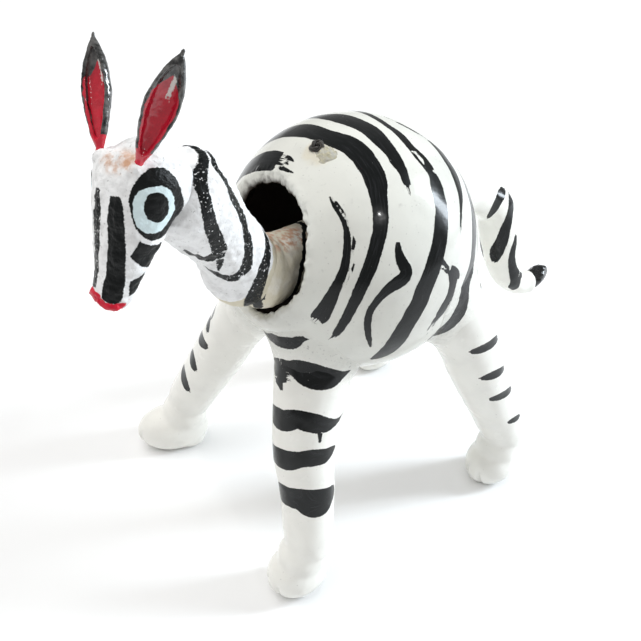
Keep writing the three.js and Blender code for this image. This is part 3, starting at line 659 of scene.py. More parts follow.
class Finish:
    """A material's nodes, added one after another; sizes are in millimetres."""

    def __init__(self, name, **shader):
        self.material = bpy.data.materials.new(name)
        self.material.use_nodes = True
        self.tree = self.material.node_tree
        self.tree.nodes.clear()
        self.shader = self.node("BsdfPrincipled")
        output = self.node("OutputMaterial")
        self.tree.links.new(self.shader.outputs[0], output.inputs[0])
        self.where = self.node("TexCoord").outputs["Object"]
        self.normal = None
        for socket, value in shader.items():
            self.set(self.shader.inputs[socket.replace("_", " ")], value)

    def node(self, kind):
        """A new node of this kind."""
        return self.tree.nodes.new("ShaderNode" + kind)

    def set(self, socket, value):
        """Links a socket to a node's output, or gives it a fixed value."""
        if isinstance(value, bpy.types.NodeSocket):
            self.tree.links.new(value, socket)
        else:
            socket.default_value = value

    def surface(self, socket, value):
        """Sets one of the shader's inputs."""
        self.set(self.shader.inputs[socket], value)

    def skin(self, colour, blotch, detail, smoothest, roughest):
        """Sets the colour, and a roughness that changes in blotches of this width."""
        self.surface("Base Color", colour)
        shine = self.blotches(blotch, detail, 0.3, 0.8, smoothest, roughest)
        self.surface("Roughness", shine)

    def attribute(self, name):
        """A layer of the piece's coat."""
        node = self.node("Attribute")
        node.attribute_name = name
        return node.outputs["Fac"]

    def math(self, operation, first, second, clamp=False):
        """Two values or outputs put together by an operation."""
        node = self.node("Math")
        node.operation = operation
        node.use_clamp = clamp
        self.set(node.inputs[0], first)
        self.set(node.inputs[1], second)
        return node.outputs[0]

    def times(self, first, second, clamp=False):
        """One value times another."""
        return self.math("MULTIPLY", first, second, clamp)

    def plus(self, first, second):
        """The sum of two values."""
        return self.math("ADD", first, second)

    def wave(self, size, detail, height):
        """Noise about zero, this high from its lowest to its highest."""
        return self.times(self.math("SUBTRACT", self.noise(size, detail), 0.5), height)

    def noise(self, size, detail, where=None, stretch=None):
        """Noise from 0 to 1 whose blotches are about this wide."""
        source = where or self.where
        if stretch is not None:
            mapping = self.node("Mapping")
            mapping.inputs["Scale"].default_value = stretch
            self.tree.links.new(source, mapping.inputs["Vector"])
            source = mapping.outputs[0]
        node = self.node("TexNoise")
        node.inputs["Scale"].default_value = 1 / (size * MM)
        node.inputs["Detail"].default_value = detail
        node.inputs["Roughness"].default_value = 0.55
        self.tree.links.new(source, node.inputs["Vector"])
        return node.outputs["Fac"]

    def dots(self, size):
        """Distance from scattered dots, in widths of a cell."""
        node = self.node("TexVoronoi")
        node.inputs["Scale"].default_value = 1 / (size * MM)
        self.tree.links.new(self.where, node.inputs["Vector"])
        return node.outputs["Distance"]

    def step(self, value, low, high, start=0.0, end=1.0):
        """A soft step from start to end as the value goes from low to high."""
        node = self.node("MapRange")
        node.interpolation_type = "SMOOTHSTEP"
        for socket, number in zip(node.inputs[1:5], (low, high, start, end)):
            self.set(socket, number)
        self.set(node.inputs[0], value)
        return node.outputs[0]

    def mix(self, share, first, second):
        """The first colour where the share is 0 and the second where it is 1."""
        node = self.node("Mix")
        node.data_type = "RGBA"
        self.set(node.inputs[0], share)
        self.set(node.inputs[6], first)
        self.set(node.inputs[7], second)
        return node.outputs[2]

    def blotches(self, size, detail, low, high, start=0.0, end=1.0):
        """Noise of this width, turned into blotches by a soft step."""
        return self.step(self.noise(size, detail), low, high, start, end)

    def grain(self, size, detail, depth):
        """Relief of noise of this width."""
        self.bump(self.noise(size, detail), depth)

    def bump(self, height, depth):
        """Adds relief: a height from 0 to 1 that stands this many millimetres proud."""
        node = self.node("Bump")
        node.inputs["Distance"].default_value = depth * MM
        self.set(node.inputs["Height"], height)
        if self.normal is not None:
            self.tree.links.new(self.normal, node.inputs["Normal"])
        self.normal = node.outputs[0]
        self.set(self.shader.inputs["Normal"], self.normal)

    def brushed(self, layer, wobble, ragged):
        """Where a layer's paint lies, with wavy and ragged edges and dry bristle marks."""
        wave = self.wave(1.6, 2, 2 * wobble)
        grain = self.wave(0.28, 3, 2 * ragged)
        edge = self.plus(self.plus(self.attribute(layer), wave), grain)
        place = self.node("CombineXYZ")
        self.set(place.inputs[0], self.times(self.attribute(layer + "_across"), MM))
        slow = self.times(self.attribute(layer + "_along"), 0.07 * MM)
        self.set(place.inputs[1], slow)
        bristles = self.noise(0.34, 3, place.outputs[0])
        thin = self.step(bristles, 0.36, 0.66)
        dryness = self.times(self.attribute(layer + "_dry"), 2.4)
        edge = self.math("SUBTRACT", edge, self.times(dryness, thin))
        return self.step(edge, -0.04, 0.05), bristles


# How a paint looks: width and strength of its clouds, noise above which it has grey specks,
# waviness and raggedness of its strokes, noise above which the black has holes, and strength of
# the rubbed streaks in the black
Look = namedtuple("Look", "cloud clouding specks wobble ragged holes streaks")


def painted(name, paint, base, look, near=False, worn=False, **shader):
    """White paint with black strokes over it.

    With near, the white turns to the gourd's darker white near the gourd, and that darker white is partly
    painted shade. With worn, only worn places have holes.
    """
    finish = Finish(name, IOR=1.5, Specular_IOR_Level=0.22, **shader)
    # Near the gourd the white turns to the gourd's darker white, which is partly painted shade
    if near:
        base = finish.mix(finish.attribute("near"), base, paint.aged_and_shaded)
    clouds = finish.blotches(look.cloud, 3, 0.42, 0.75, 0, look.clouding)
    white = finish.mix(clouds, base, paint.grime)
    specks = finish.blotches(0.5, 1, look.specks, look.specks + 0.06)
    white = finish.mix(finish.times(specks, 0.5), white, paint.grime)
    mask, bristles = finish.brushed("ink", look.wobble, look.ragged)
    holes = finish.blotches(0.42, 2, look.holes, look.holes + 0.05)
    if worn:
        holes = finish.times(holes, finish.attribute("worn"), clamp=True)
    mask = finish.times(mask, finish.math("SUBTRACT", 1, holes, clamp=True))
    streaks = finish.step(bristles, 0.45, 0.8, 0, look.streaks)
    black = finish.mix(streaks, paint.black, paint.worn_black)
    return finish, white, black, mask


def dirtied(finish, paint, white, black, mask, size, most):
    """Colour of a painted piece with spots of dirt near its joint."""
    spots = finish.blotches(size, 3, 0.6, 0.68, 0, most)
    dirt = finish.times(finish.attribute("dirt"), spots)
    return finish.mix(mask, finish.mix(dirt, white, paint.grime), black)


def gourd_finish(paint):
    """Gloss paint over a gourd in a darker white that is partly painted shade, with a near-black inside
    that is partly painted shade.
    """
    look = Look(7, 0.14, 0.72, 0.16, 0.12, 0.76, 0.5)
    shine = {"Coat_Weight": 0.15, "Coat_Roughness": 0.06}
    # The gourd's white is darker than the legs' white: partly duller paint, partly painted shade
    finish, white, black, mask = painted("gloss paint on gourd", paint, paint.aged_and_shaded, look, **shine)
    smudge = finish.blotches(1.7, 4, 0.62, 0.8, 0, 0.3)
    white = finish.mix(smudge, white, paint.grime)
    glued = finish.times(finish.attribute("stain"), finish.noise(2, 3))
    white = finish.mix(finish.step(glued, 0.1, 0.6, 0, 0.7), white, paint.cream)
    colour = finish.mix(mask, white, black)
    # Painted shade: the lip and the inner skin darken inwards into the near-black inside
    ragged = finish.wave(1.4, 3, 2.4)
    deep = finish.step(finish.math("SUBTRACT", finish.attribute("inside"), ragged), -1.3, 1.1)
    finish.skin(finish.mix(deep, colour, paint.inside), 6, 3, 0.14, 0.28)
    finish.grain(3.2, 2, 0.06)
    finish.bump(finish.step(finish.dots(2.3), 0.03, 0.1), 0.05)
    finish.bump(mask, 0.035)
    return finish.material


def wood_finish(paint):
    """Gloss paint over carved wood, with a little dirt near the joints."""
    look = Look(6, 0.08, 0.74, 0.14, 0.16, 0.76, 0.5)
    shine = {"Coat_Weight": 0.2, "Coat_Roughness": 0.08}
    finish, *paints = painted("gloss paint on wood", paint, paint.white, look, **shine)
    finish.skin(dirtied(finish, paint, *paints, 0.7, 0.7), 5, 3, 0.18, 0.3)
    finish.grain(2.6, 2, 0.05)
    finish.bump(finish.step(finish.dots(2.4), 0.02, 0.09), 0.03)
    finish.bump(paints[-1], 0.04)
    return finish.material


def paste_finish(paint):
    """Painted paste round the tops of the legs: satin, with grey specks where it was smoothed, and the
    gourd's darker white near the gourd, which is partly painted shade.
    """
    look = Look(5, 0.1, 0.73, 0.14, 0.16, 0.74, 0.5)
    shine = {"Coat_Weight": 0.15, "Coat_Roughness": 0.12}
    finish, *paints = painted("painted paste", paint, paint.white, look, near=True, **shine)
    finish.skin(dirtied(finish, paint, *paints, 0.6, 0.75), 3, 3, 0.22, 0.36)
    finish.grain(1.8, 3, 0.08)
    finish.bump(finish.step(finish.dots(1.7), 0.03, 0.12), 0.05)
    finish.bump(paints[-1], 0.04)
    return finish.material


def rough_finish(paint):
    """Rough chalky paste of the neck and head, with all the paints of the face."""
    look = Look(2.2, 0.34, 0.68, 0.14, 0.24, 0.635, 0.6)
    finish, white, black, mask = painted("rough paste", paint, paint.chalk, look, worn=True)
    patchy = finish.plus(finish.attribute("bare"), finish.wave(0.8, 2, 0.6))
    white = finish.mix(finish.step(patchy, 0.35, 0.65), white, paint.cream)
    blotches = finish.blotches(1.8, 3, 0.35, 0.7)
    white = finish.mix(finish.times(finish.attribute("stain"), blotches), white, paint.tan)
    colour = finish.mix(mask, white, black)
    for layer, over in (("ring", paint.ring), ("pupil", paint.black), ("red", paint.red)):
        edge = finish.plus(finish.attribute(layer), finish.wave(0.7, 3, 0.5))
        there = finish.step(edge, -0.05, 0.06)
        colour = finish.mix(there, colour, over)
        mask = finish.math("MAXIMUM", mask, there)
    finish.surface("Base Color", colour)
    finish.surface("Roughness", finish.step(mask, 0, 1, 0.62, 0.34))
    finish.grain(0.9, 4, 0.22)
    finish.grain(0.3, 2, 0.07)
    finish.bump(mask, 0.05)
    return finish.material


def plug_finish(paint):
    """Bare cream plug with brown specks at its rough top and a dark uneven rear edge, partly black paint
    and partly painted shadow of the gap to the gourd's lip.
    """
    finish = Finish("cream plug", Roughness=0.6)
    colour = finish.mix(finish.blotches(4, 3, 0.35, 0.75, 0, 0.5), paint.cream, paint.chalk)
    pink = finish.times(finish.attribute("stain"), finish.blotches(1.2, 3, 0.4, 0.65))
    colour = finish.mix(pink, colour, paint.tan)
    # The black edge is partly paint and partly painted shadow of the gap to the gourd's lip
    edge = finish.plus(finish.attribute("ink"), finish.times(finish.noise(1.1, 3), 1.6))
    mask = finish.step(edge, 0.7, 0.85)
    finish.surface("Base Color", finish.mix(mask, colour, paint.black))
    finish.grain(1.4, 3, 0.12)
    finish.grain(0.35, 2, 0.04)
    return finish.material


def ear_finish(paint):
    """Glossy ears: black outside and at the rim and tip, red in the cup, with a painted highlight streak in
    the cup.
    """
    finish = Finish("ear gloss", IOR=1.5, Coat_Weight=0.6, Coat_Roughness=0.08)
    inside = finish.plus(finish.attribute("red"), finish.wave(0.8, 3, 0.5))
    inside = finish.step(inside, -0.08, 0.1)
    rubbed = finish.blotches(1.3, 3, 0.35, 0.75, 0.02, 0.5)
    black = finish.mix(rubbed, paint.black, paint.grime)
    shade = finish.blotches(2, 2, 0.3, 0.8, 0, 0.25)
    red = finish.mix(shade, paint.red, paint.black)
    # Pale: a painted highlight streak in the cup, and the pale paint at the root
    pale = finish.plus(finish.attribute("pale"), finish.times(finish.noise(0.45, 3), 0.7))
    colour = finish.mix(inside, black, red)
    colour = finish.mix(finish.step(pale, 0.3, 0.5, 0, 0.9), colour, paint.white)
    finish.skin(colour, 1.5, 2, 0.12, 0.3)
    finish.grain(0.9, 3, 0.06)
    return finish.material


def tuft_finish(paint):
    """Thick glossy black of the tail's knob."""
    finish = Finish("black knob", Coat_Weight=0.5, Coat_Roughness=0.1)
    rubbed = finish.blotches(1.4, 3, 0.5, 0.8, 0, 0.6)
    finish.skin(finish.mix(rubbed, paint.black, paint.worn_black), 1, 3, 0.2, 0.4)
    finish.grain(0.8, 3, 0.12)
    return finish.material


def thread_finish(paint):
    """Dark thread with pale fibres."""
    finish = Finish("dark thread", Roughness=0.8, Sheen_Weight=0.3)
    fibres = finish.blotches(0.16, 3, 0.5, 0.75, 0, 0.6)
    finish.surface("Base Color", finish.mix(fibres, paint.thread, paint.worn_black))
    finish.grain(0.12, 2, 0.05)
    return finish.material


def glue_finish(paint):
    """Clear yellowish glue."""
    finish = Finish("glue", Roughness=0.04, IOR=1.5, Transmission_Weight=0.6, Coat_Weight=1.0)
    cloudy = finish.blotches(1.0, 2, 0.35, 0.65, 0, 0.9)
    finish.surface("Base Color", finish.mix(cloudy, paint.glue, paint.white))
    finish.grain(0.7, 2, 0.05)
    return finish.material


def steel_finish(paint):
    """Drawn steel wire."""
    finish = Finish("steel wire", Metallic=1.0)
    dull = finish.blotches(0.7, 3, 0.4, 0.8, 0, 0.5)
    finish.skin(finish.mix(dull, paint.steel, paint.grime), 0.5, 3, 0.3, 0.5)
    finish.grain(0.3, 2, 0.01)
    return finish.material


def metal_finish(paint):
    """Dull cast metal with a pitted skin."""
    finish = Finish("cast weight", Metallic=0.8)
    dull = finish.blotches(2, 4, 0.4, 0.7)
    finish.skin(finish.mix(dull, paint.lead, paint.grime), 1.2, 3, 0.5, 0.8)
    finish.grain(0.9, 4, 0.15)
    return finish.material


def bare_wood_finish(paint):
    """Bare pale wood with its grain."""
    finish = Finish("bare wood", Roughness=0.7)
    grain = finish.noise(0.6, 4, stretch=(1, 1, 0.12))
    finish.surface("Base Color", finish.mix(finish.step(grain, 0.35, 0.7), paint.wood, paint.tan))
    finish.bump(grain, 0.04)
    return finish.material


# Places on the animal, in millimetres


def body_centre(radius):
    """Middle of the gourd, found from the hole that its thread hangs from."""
    hole = Vector((0, -radius * math.sin(THREAD_HOLE_ANGLE), radius * math.cos(THREAD_HOLE_ANGLE)))
    return THREAD_TOP + Vector((0, 0, SEAT_GAP)) - hole


def seated(points, centre, radius):
    """The points, with those deep inside the gourd brought up to just under its skin."""
    away = points - np.array(centre)
    far = np.linalg.norm(away, axis=1, keepdims=True)
    seat = radius - SEAT_DEPTH
    return np.where(far < seat, np.array(centre) + away / far * seat, points)


def soft_curve(share, start, middle, end):
    """A value that leaves start towards middle and arrives at end as the share goes to 1."""
    return (1 - share) ** 2 * start + 2 * share * (1 - share) * middle + share**2 * end


def front_direction(angle):
    """Direction from the gourd's middle, tipped from the top towards the front."""
    return Vector((0, -math.sin(angle), math.cos(angle)))


HANGING = Matrix.Translation(PIVOT) @ Matrix.Rotation(HEAD_TURN, 4, "Z")

# Middle line of neck and plug about the thread's loop, from the head to the plug's rear end
NECK_ROUTE = [
    (0, -32.8, 19.1), (0, -27.7, 11), (0, -23.8, 4.9), (0, -19.8, -1.2), (0, -15.8, -5.3),
    (0, -7.1, -8), (0, 0, -8.8), (0, 3, -9.2)
]
HEAD_PLACE = Vector((-1.1, -32.8, 19.1))
PASTE_END = 24.7

# Middle line of the tail from the middle of the gourd's rear
TAIL_ROUTE = [
    (0, -4, 1.5), (0.3, 4, 2.2), (1, 10, -0.6), (2, 13.6, -3.8), (3.5, 15.2, -9.4), (5, 15.8, -15.6),
    (6.5, 17.9, -21.6), (7.5, 21.6, -25.6), (8, 25.4, -26.2)
]

# A leg: its bearing from the front and its drop below the level in degrees, how far its ankle is
# beside and behind the gourd's middle, how far its toes turn out and how much longer they are, how
# full its thigh is, and its bends as depth, place along the leg and reach
Leg = namedtuple("Leg", "name side bearing drop out along toes_out long_toes thigh bow")
LEGS = [
    Leg("front_left", LEFT, 30.6, 35, 24.5, -25.2, 0, 0, 1.4, ((-1.1, 24, 8), (1.0, 4, 6))),
    Leg("front_right", RIGHT, 30.6, 35, 27, -26, 20, 3.9, 0, ()),
    Leg("rear_left", LEFT, 124.4, 21, 24.4, 33.2, 4, 0, 0.9, ((1.0, 12, 10),)),
    Leg("rear_right", RIGHT, 124.4, 21, 24.4, 33.2, 4, 0, 0.9, ((1.0, 12, 10),)),
]
FOOT_FORWARD = 2.5
SOLE_CUT = 1
TOE_SPACING = 1.9
GROOVE_WIDTH = 0.42
GROOVE_DEPTH = 0.75
COLLAR_SEAT = 6


def other_side(strokes):
    """The same strokes on the other side."""
    return [brush(*[(u, -v, w) for u, v, w in each.spots], dry=each.dry) for each in strokes]


def without_start(strokes):
    """The same strokes, and those that begin beyond the top lose their spots near the top."""
    shorter = []
    for each in strokes:
        begins_beyond = each.spots[0][1] < 0
        spots = [spot for spot in each.spots if spot[1] > NEAR_TOP or not begins_beyond]
        shorter.append(brush(*spots, dry=each.dry))
    return shorter


# Strokes on the gourd: degrees from the front pole, degrees round from the top, width
SADDLE = brush(
    (46, -122, 0.4), (50, -106, 2), (55, -90, 2.6), (60, -75, 3), (63, -60, 3.2), (66, -48, 3.5),
    (69, -38, 4), (71.5, -28, 4.5), (73, -19, 4.6), (74.3, -9.4, 4), (75.1, -3.7, 3.8),
    (76.7, 1.9, 4.2), (78.3, 6.3, 4.4), (79.5, 10.7, 4.5), (79.9, 15.9, 4.5), (79.6, 21.1, 4.3),
    (79.3, 26, 4.3), (78.3, 30.3, 4.1), (76.7, 34.7, 3.4), (75.2, 39.3, 3.1), (73.6, 43.8, 2.9),
    (71.7, 48.1, 2.7), (69.6, 51.8, 2.7), (67, 56.1, 2.6), (63.7, 62, 2.6), (60.5, 67.4, 2.5),
    (57.7, 72.7, 2.4), (55.5, 77.8, 2.2), (52.9, 84.6, 2), (50.9, 91.1, 1.9), (48.7, 99.6, 1.5),
    (46.1, 108.8, 0.3), dry=(8, 3)
)
MOUTH_ARCH = [
    brush(
        (41, -112, 0.4), (44, -98, 2.2), (46, -84, 3), (48, -70, 3.6), (50, -57, 3.9),
        (51.7, -45.4, 4.3), (52.4, -35.3, 4.7), (53.2, -26, 4.9), (54, -18, 4.8), (54.8, -12, 4.2),
        dry=(6, 0)
    ),
    brush((56, -17, 1.9), (57.5, -11, 1.3), (58.2, -6, 0.8), (57.7, -1.5, 0.2)),
    brush((54.8, -14, 1.8), (55.6, -8, 1), (56, -3.2, 0.3)),
    brush((52.6, -16, 1.6), (53, -8, 1.1), (53.6, -1, 0.7), (54.6, 4, 0.2)),
]
BACK_STRIPES = [
    brush(
        (84, -40, 0.3), (85.3, -31, 1.2), (86.4, -24, 2.2), (87.6, -16.6, 3.5), (89.2, -9.4, 4.2),
        (90.3, -4.5, 4.1), (91.5, 0.9, 3.9), (92.2, 5.4, 3.9), (92, 10.5, 3.7), (91.9, 15.9, 3.2),
        (91.9, 20.9, 2.8), (91.5, 25.5, 2.7), (91.4, 29.8, 2), (90.5, 33.7, 1.7), (89.7, 37, 1.3),
        (89.1, 39.5, 0.6), dry=(2, 2)
    ),
    brush(
        (101, -38, 0.3), (102, -25, 1), (102.5, -12, 1.5), (102.4, -1, 1.5), (102.7, 5.4, 1.5),
        (103.1, 10.2, 1.8), (103.2, 14.1, 2), (103.1, 18.6, 2), (103.4, 22, 2.1), dry=(5, 0)
    ),
    brush((104, 21, 1.5), (105.6, 24.2, 1.2), (106.4, 26.8, 1.3), (106.1, 29.7, 1.9), (105.6, 33, 2.2)),
    brush(
        (102.2, 21, 1), (102.1, 25.9, 0.75), (102.6, 28.4, 0.7), (103.2, 30.9, 0.75), (104.2, 34, 1.2)
    ),
    brush(
        (105.6, 31, 1.6), (105.2, 36.3, 2.6), (104.5, 39.9, 3.2), (103.3, 44.5, 3.3), (102, 49.7, 3.3),
        (99.9, 53.9, 3.5), (98.1, 57.6, 3.6), (96.1, 61.3, 3.7), (93.9, 65, 3.8), (91.6, 68.5, 3.8),
        (89.5, 72.2, 3.9), (87.1, 75.8, 3.9), (84.8, 79.6, 4.1), (83.2, 83.9, 4.1), (81.3, 87.8, 4.3),
        (79.2, 92.6, 4.2), (76.9, 98.7, 4.2), (75.2, 107.3, 4.4), (72.9, 114.7, 3.8),
        (68.5, 120.8, 0.7)
    ),
    brush(
        (108, -8, 0.2), (112, 1.9, 0.9), (114.9, 6.4, 1.1), (118, 10, 1), (120, 13.5, 0.6), dry=(4, 3)
    ),
    brush(
        (119.8, 13, 0.5), (122, 18.4, 1.8), (123.2, 22, 2.6), (123.4, 27.5, 3), (123.4, 32.6, 3.1),
        (122.5, 37.9, 2.9), (120.6, 43.6, 2.3), (118.3, 48.4, 1.5), (114.9, 53.1, 1),
        (112.2, 57.6, 1.2), (110.4, 62.1, 1), (109.3, 68.9, 0.3), dry=(0, 7)
    ),
    brush(
        (135, 4, 0.3), (135.5, 17, 0.8), (135, 28, 1.2), (134, 38, 1.8), (132.5, 47, 2.6),
        (131, 55, 3.2), (128.8, 60.5, 3.6), (126, 65.7, 3.6), (124, 70.3, 3.4), (122, 74.6, 3.2),
        (120.5, 79.3, 3.2), (117.8, 83.5, 3.2), (114.8, 86.6, 3.1), (112.5, 89.5, 3.1),
        (111.3, 92.6, 3.1), (110.8, 96.5, 3.2), (109.6, 101.7, 3.5), (108, 106, 3.5), (105, 111, 3.4),
        (101.8, 116, 3.2), (99, 120.5, 2.4), (96, 124.5, 0.4), dry=(8, 2)
    ),
]
FLANK_STRIPES = [
    brush(
        (59.3, 25.6, 0.3), (59, 30.4, 0.6), (59.2, 35.7, 0.7), (59.5, 40.3, 0.9), (58.9, 44.4, 1.2),
        (57.5, 49.2, 1.4), (55.8, 54.2, 1.5), (53.9, 59.1, 1.6), (51.2, 64.5, 1.8), (48.5, 69.7, 2.1),
        (45.6, 76.2, 2.6), (43, 83.4, 3.1), (41.2, 88.6, 3.3), (40.3, 91, 2.6)
    ),
    brush((43.4, 84, 1.3), (42, 91, 0.8), (41.2, 94.5, 0.2), dry=(0, 1)),
    brush((40.6, 86, 1.3), (38.4, 92, 0.8), (37.4, 94.5, 0.2), dry=(0, 1)),
    brush((42, 86, 1.3), (40, 93.5, 0.9), (39.2, 97, 0.2), dry=(0, 1)),
    brush((60, 26.7, 0.25), (60.8, 33.2, 0.35), (61.2, 38.9, 0.3), (60.9, 44, 0.2), dry=(1, 3)),
    brush((60.9, 47, 0.2), (60.2, 49.5, 0.7), (59.2, 51.6, 0.6), (57.9, 55, 0.2), dry=(0, 1)),
    brush((60, 54.5, 0.2), (57.5, 59.5, 0.4), (55, 64.5, 0.45), (52.5, 69, 0.2), dry=(2, 3)),
    brush(
        (77, 55.4, 0.4), (76.6, 57, 1.1), (76, 59.7, 1.5), (76.4, 63.7, 2.1), (77.4, 66.9, 2.3),
        (77.7, 69.1, 2.4), (76.4, 70.8, 2.7), (73.9, 72.1, 2.7), (71.1, 73.2, 2.3), (67.2, 75.9, 1.8),
        (63.9, 79.5, 1.5), (61.4, 84.2, 1.4), (60.7, 89.5, 1.4), (61.5, 97, 1.3), (63.6, 104.7, 0.8),
        (64.9, 108.5, 0.2)
    ),
    brush((93.5, 68, 0.9), (95.5, 69.8, 0.9), (97.4, 72.5, 0.8), (99.9, 76, 0.9)),
    brush((92.5, 71, 0.5), (95.8, 73.6, 0.4), (98.4, 76.4, 0.7)),
    brush(
        (99.8, 75, 1), (101.2, 78.2, 2.4), (102, 81.3, 2.7), (101.8, 83.9, 2.6), (101, 87.4, 2.6),
        (99.4, 90.6, 2.8), (97.5, 93.5, 2.8), (95.8, 96.9, 2.6), (93.7, 99.8, 2.2), (92.3, 103.7, 1.6),
        (92, 108.3, 0.8), dry=(0, 6)
    ),
    brush(
        (100.2, 73.4, 0.3), (103.4, 76.1, 0.6), (105.1, 78.9, 0.9), (105.6, 81.6, 1), (105.2, 83, 0.3)
    ),
    brush((104.6, 84, 0.3), (102.5, 91, 0.6), (100, 97, 0.4), dry=(3, 4)),
    brush((95.2, 104, 0.2), (94.4, 108, 0.4), (93.6, 111, 0.2), dry=(1, 2)),
]
CHEST_STROKES = [
    brush(
        (25.6, 166, 0.2), (26.6, 159, 0.8), (27.6, 148, 1.6), (28.2, 139.3, 2.2), (31.2, 128.5, 2.5),
        (34.2, 121.5, 2.3), (36.5, 115, 1), (39.5, 109.8, 0.2), dry=(1, 1)
    ),
    brush((33, 120, 1), (34.8, 115, 0.8), (37, 111.5, 0.2)),
    brush((22.5, -141, 0.2), (24, -150, 0.7), (26, -163, 0.7), (27.5, -172, 0.2), dry=(2, 2)),
]
RIGHT_STRIPES = [
    brush(
        (80, -44, 0.3), (82, -55, 2.6), (81, -66, 3.2), (78, -80, 3.4), (72, -94, 3.2),
        (66, -108, 2.6), (61, -120, 0.5), dry=(3, 3)
    ),
    brush(
        (100, -34, 0.4), (102, -46, 2.8), (100, -60, 3.6), (96, -75, 3.8), (90, -90, 3.8),
        (84, -104, 3.4), (79, -118, 0.6), dry=(3, 3)
    ),
    brush(
        (117, -20, 0.4), (120, -35, 1.8), (119, -50, 2.4), (114, -66, 2.8), (108, -82, 2.8),
        (102, -98, 2.4), (96, -112, 0.5), dry=(6, 4)
    ),
    brush(
        (134, -12, 0.4), (135, -36, 1.8), (131, -58, 2.6), (124, -78, 3), (115, -94, 3),
        (107, -110, 2.6), (101, -119, 0.5), dry=(8, 3)
    ),
    brush((88, -70, 0.5), (87, -78, 1.9), (83, -88, 2.3), (77, -100, 1.8), (73, -110, 0.4), dry=(1, 2)),
    brush((44, -64, 0.5), (47, -76, 1.9), (44, -90, 2.6), (39, -102, 2.8), (36, -108, 0.6), dry=(3, 2)),
]
REAR_STRIPES = [
    brush((151, -34, 0.4), (155, -8, 1.6), (153, 22, 1.5), (149, 42, 0.4), dry=(5, 5)),
    brush((150, 72, 0.4), (143, 86, 1.9), (132, 98, 2.3), (122, 110, 0.5), dry=(4, 5)),
    brush((150, -76, 0.4), (143, -90, 1.9), (133, -102, 2.2), (124, -113, 0.5), dry=(4, 5)),
]
GOURD_STROKES = [
    SADDLE,
    *MOUTH_ARCH,
    *BACK_STRIPES,
    *FLANK_STRIPES,
    *CHEST_STROKES,
    *RIGHT_STRIPES,
    *REAR_STRIPES,
]

# Strokes on the legs: millimetres along from the hip, degrees round from the front outwards, width
OUTER_BANDS = [
    brush((s, 76, 0.4), (s + 0.4, 96, 3), (s + 0.2, 126, 3.8), (s - 0.3, 158, 0.5), dry=(1, 1))
    for s in (6, 15, 23.5, 32.5)
]
REAR_BANDS = [
    brush(
        (10.9, 62, 0.4), (11.4, 78, 2), (12.4, 98, 2.5), (13.4, 118, 2.2), (14.6, 140, 0.3), dry=(1, 2)
    ),
    brush(
        (20.6, 60, 0.4), (21.2, 78, 2), (22.3, 96, 2.4), (23.4, 114, 1.9), (24.6, 134, 0.3), dry=(1, 2)
    ),
    brush(
        (29.2, 58, 0.4), (29.8, 76, 1.9), (30.9, 96, 2.3), (32.2, 118, 1.9), (33.6, 142, 0.3),
        dry=(1, 2)
    ),
    brush((40.9, 76, 0.4), (41.6, 92, 1.5), (42.8, 112, 1.7), (44.2, 136, 0.3), dry=(1, 2)),
]
LEG_STROKES = {
    "front_left": [
        brush((4.4, -44, 0.4), (4.6, -24, 3.4), (4.6, -6, 5), (4.3, 8, 4.6)),
        brush(
            (4.2, 4, 4.6), (3.6, 22, 3.8), (3.4, 38, 4.4), (4.2, 54, 5.2), (5, 72, 4.8),
            (5.2, 88, 3.6), (4.9, 102, 1.8), (4.4, 118, 0.3)
        ),
        brush((6.4, -12, 2.6), (7.4, -2, 1.6), (8.6, 4, 0.4)),
        brush(
            (14.2, -44, 0.4), (14.4, -24, 3.4), (14.6, -4, 4.6), (14.5, 13, 4.4), (13.6, 34, 4),
            (14.2, 56, 4.2), (15.1, 78, 3.4), (15.3, 96, 2), (14.9, 116, 0.9), (14.4, 130, 0.2)
        ),
        brush(
            (23, -44, 0.4), (23, -24, 3.4), (23.2, -5, 4.5), (23.1, 16, 4.5), (22.4, 38, 3.7),
            (22.1, 60, 3.9), (22.2, 82, 3.4), (21.8, 98, 2.4), (21.2, 114, 0.5)
        ),
        brush(
            (32, -44, 0.4), (32.2, -24, 3.4), (32, -6, 4.9), (32, 12, 4.9), (32, 38, 5.4),
            (32.8, 60, 6.6), (33, 80, 6.4), (32.4, 98, 4.8), (31.8, 112, 3.2), (31.4, 124, 0.5)
        ),
        brush((16.7, 71, 0.9), (18.9, 71, 0.4)),
    ],
    "front_right": [
        brush((9.2, 44, 0.3), (10.8, 34, 1.8), (12.8, 26, 0.4)),
        brush((13.2, 42, 0.4), (14.4, 26, 2.4), (16, 6, 0.4), dry=(0, 1)),
        brush((19.2, 40, 0.4), (19.6, 20, 3), (19, 2, 2.4), (17.8, -16, 0.4), dry=(0, 1)),
        brush((25.8, 34, 0.4), (26.6, 12, 3), (27.2, -6, 2.4), (27.6, -22, 0.4), dry=(0, 1)),
        brush((32.2, 30, 0.4), (33.6, 8, 3.2), (35, -14, 2.6), (36, -33, 0.4), dry=(0, 1)),
        *OUTER_BANDS,
    ],
    "rear_left": REAR_BANDS,
    "rear_right": REAR_BANDS,
}

# Strokes on the tail: millimetres along, degrees round from its upper side to the left, width
TAIL_SIDE = [
    brush(
        (17.6, 20, 0.3), (16.6, 38, 1.7), (15.9, 58, 2.6), (15.6, 84, 2.7), (16.4, 114, 2),
        (18.4, 150, 0.3), dry=(1, 2)
    ),
    brush(
        (18.2, 22, 0.3), (19, 48, 1.4), (20.6, 78, 1.9), (23.6, 108, 2.5), (27.4, 130, 2.9),
        (30.6, 148, 2.7), (32.6, 154, 0.6), dry=(2, 1)
    ),
    brush(
        (25, 72, 0.3), (28.8, 90, 1.4), (31.9, 98, 2), (34.9, 98, 2.6), (38, 94, 3.6),
        (39.8, 104, 3.6), (40.6, 124, 2.6), (41, 140, 0.6), dry=(2, 1)
    ),
    brush((38.4, 80, 2.2), (39.4, 66, 1.2), (39.8, 56, 0.3), dry=(0, 1)),
]
TAIL_STROKES = [*TAIL_SIDE, *other_side(TAIL_SIDE[:3])]

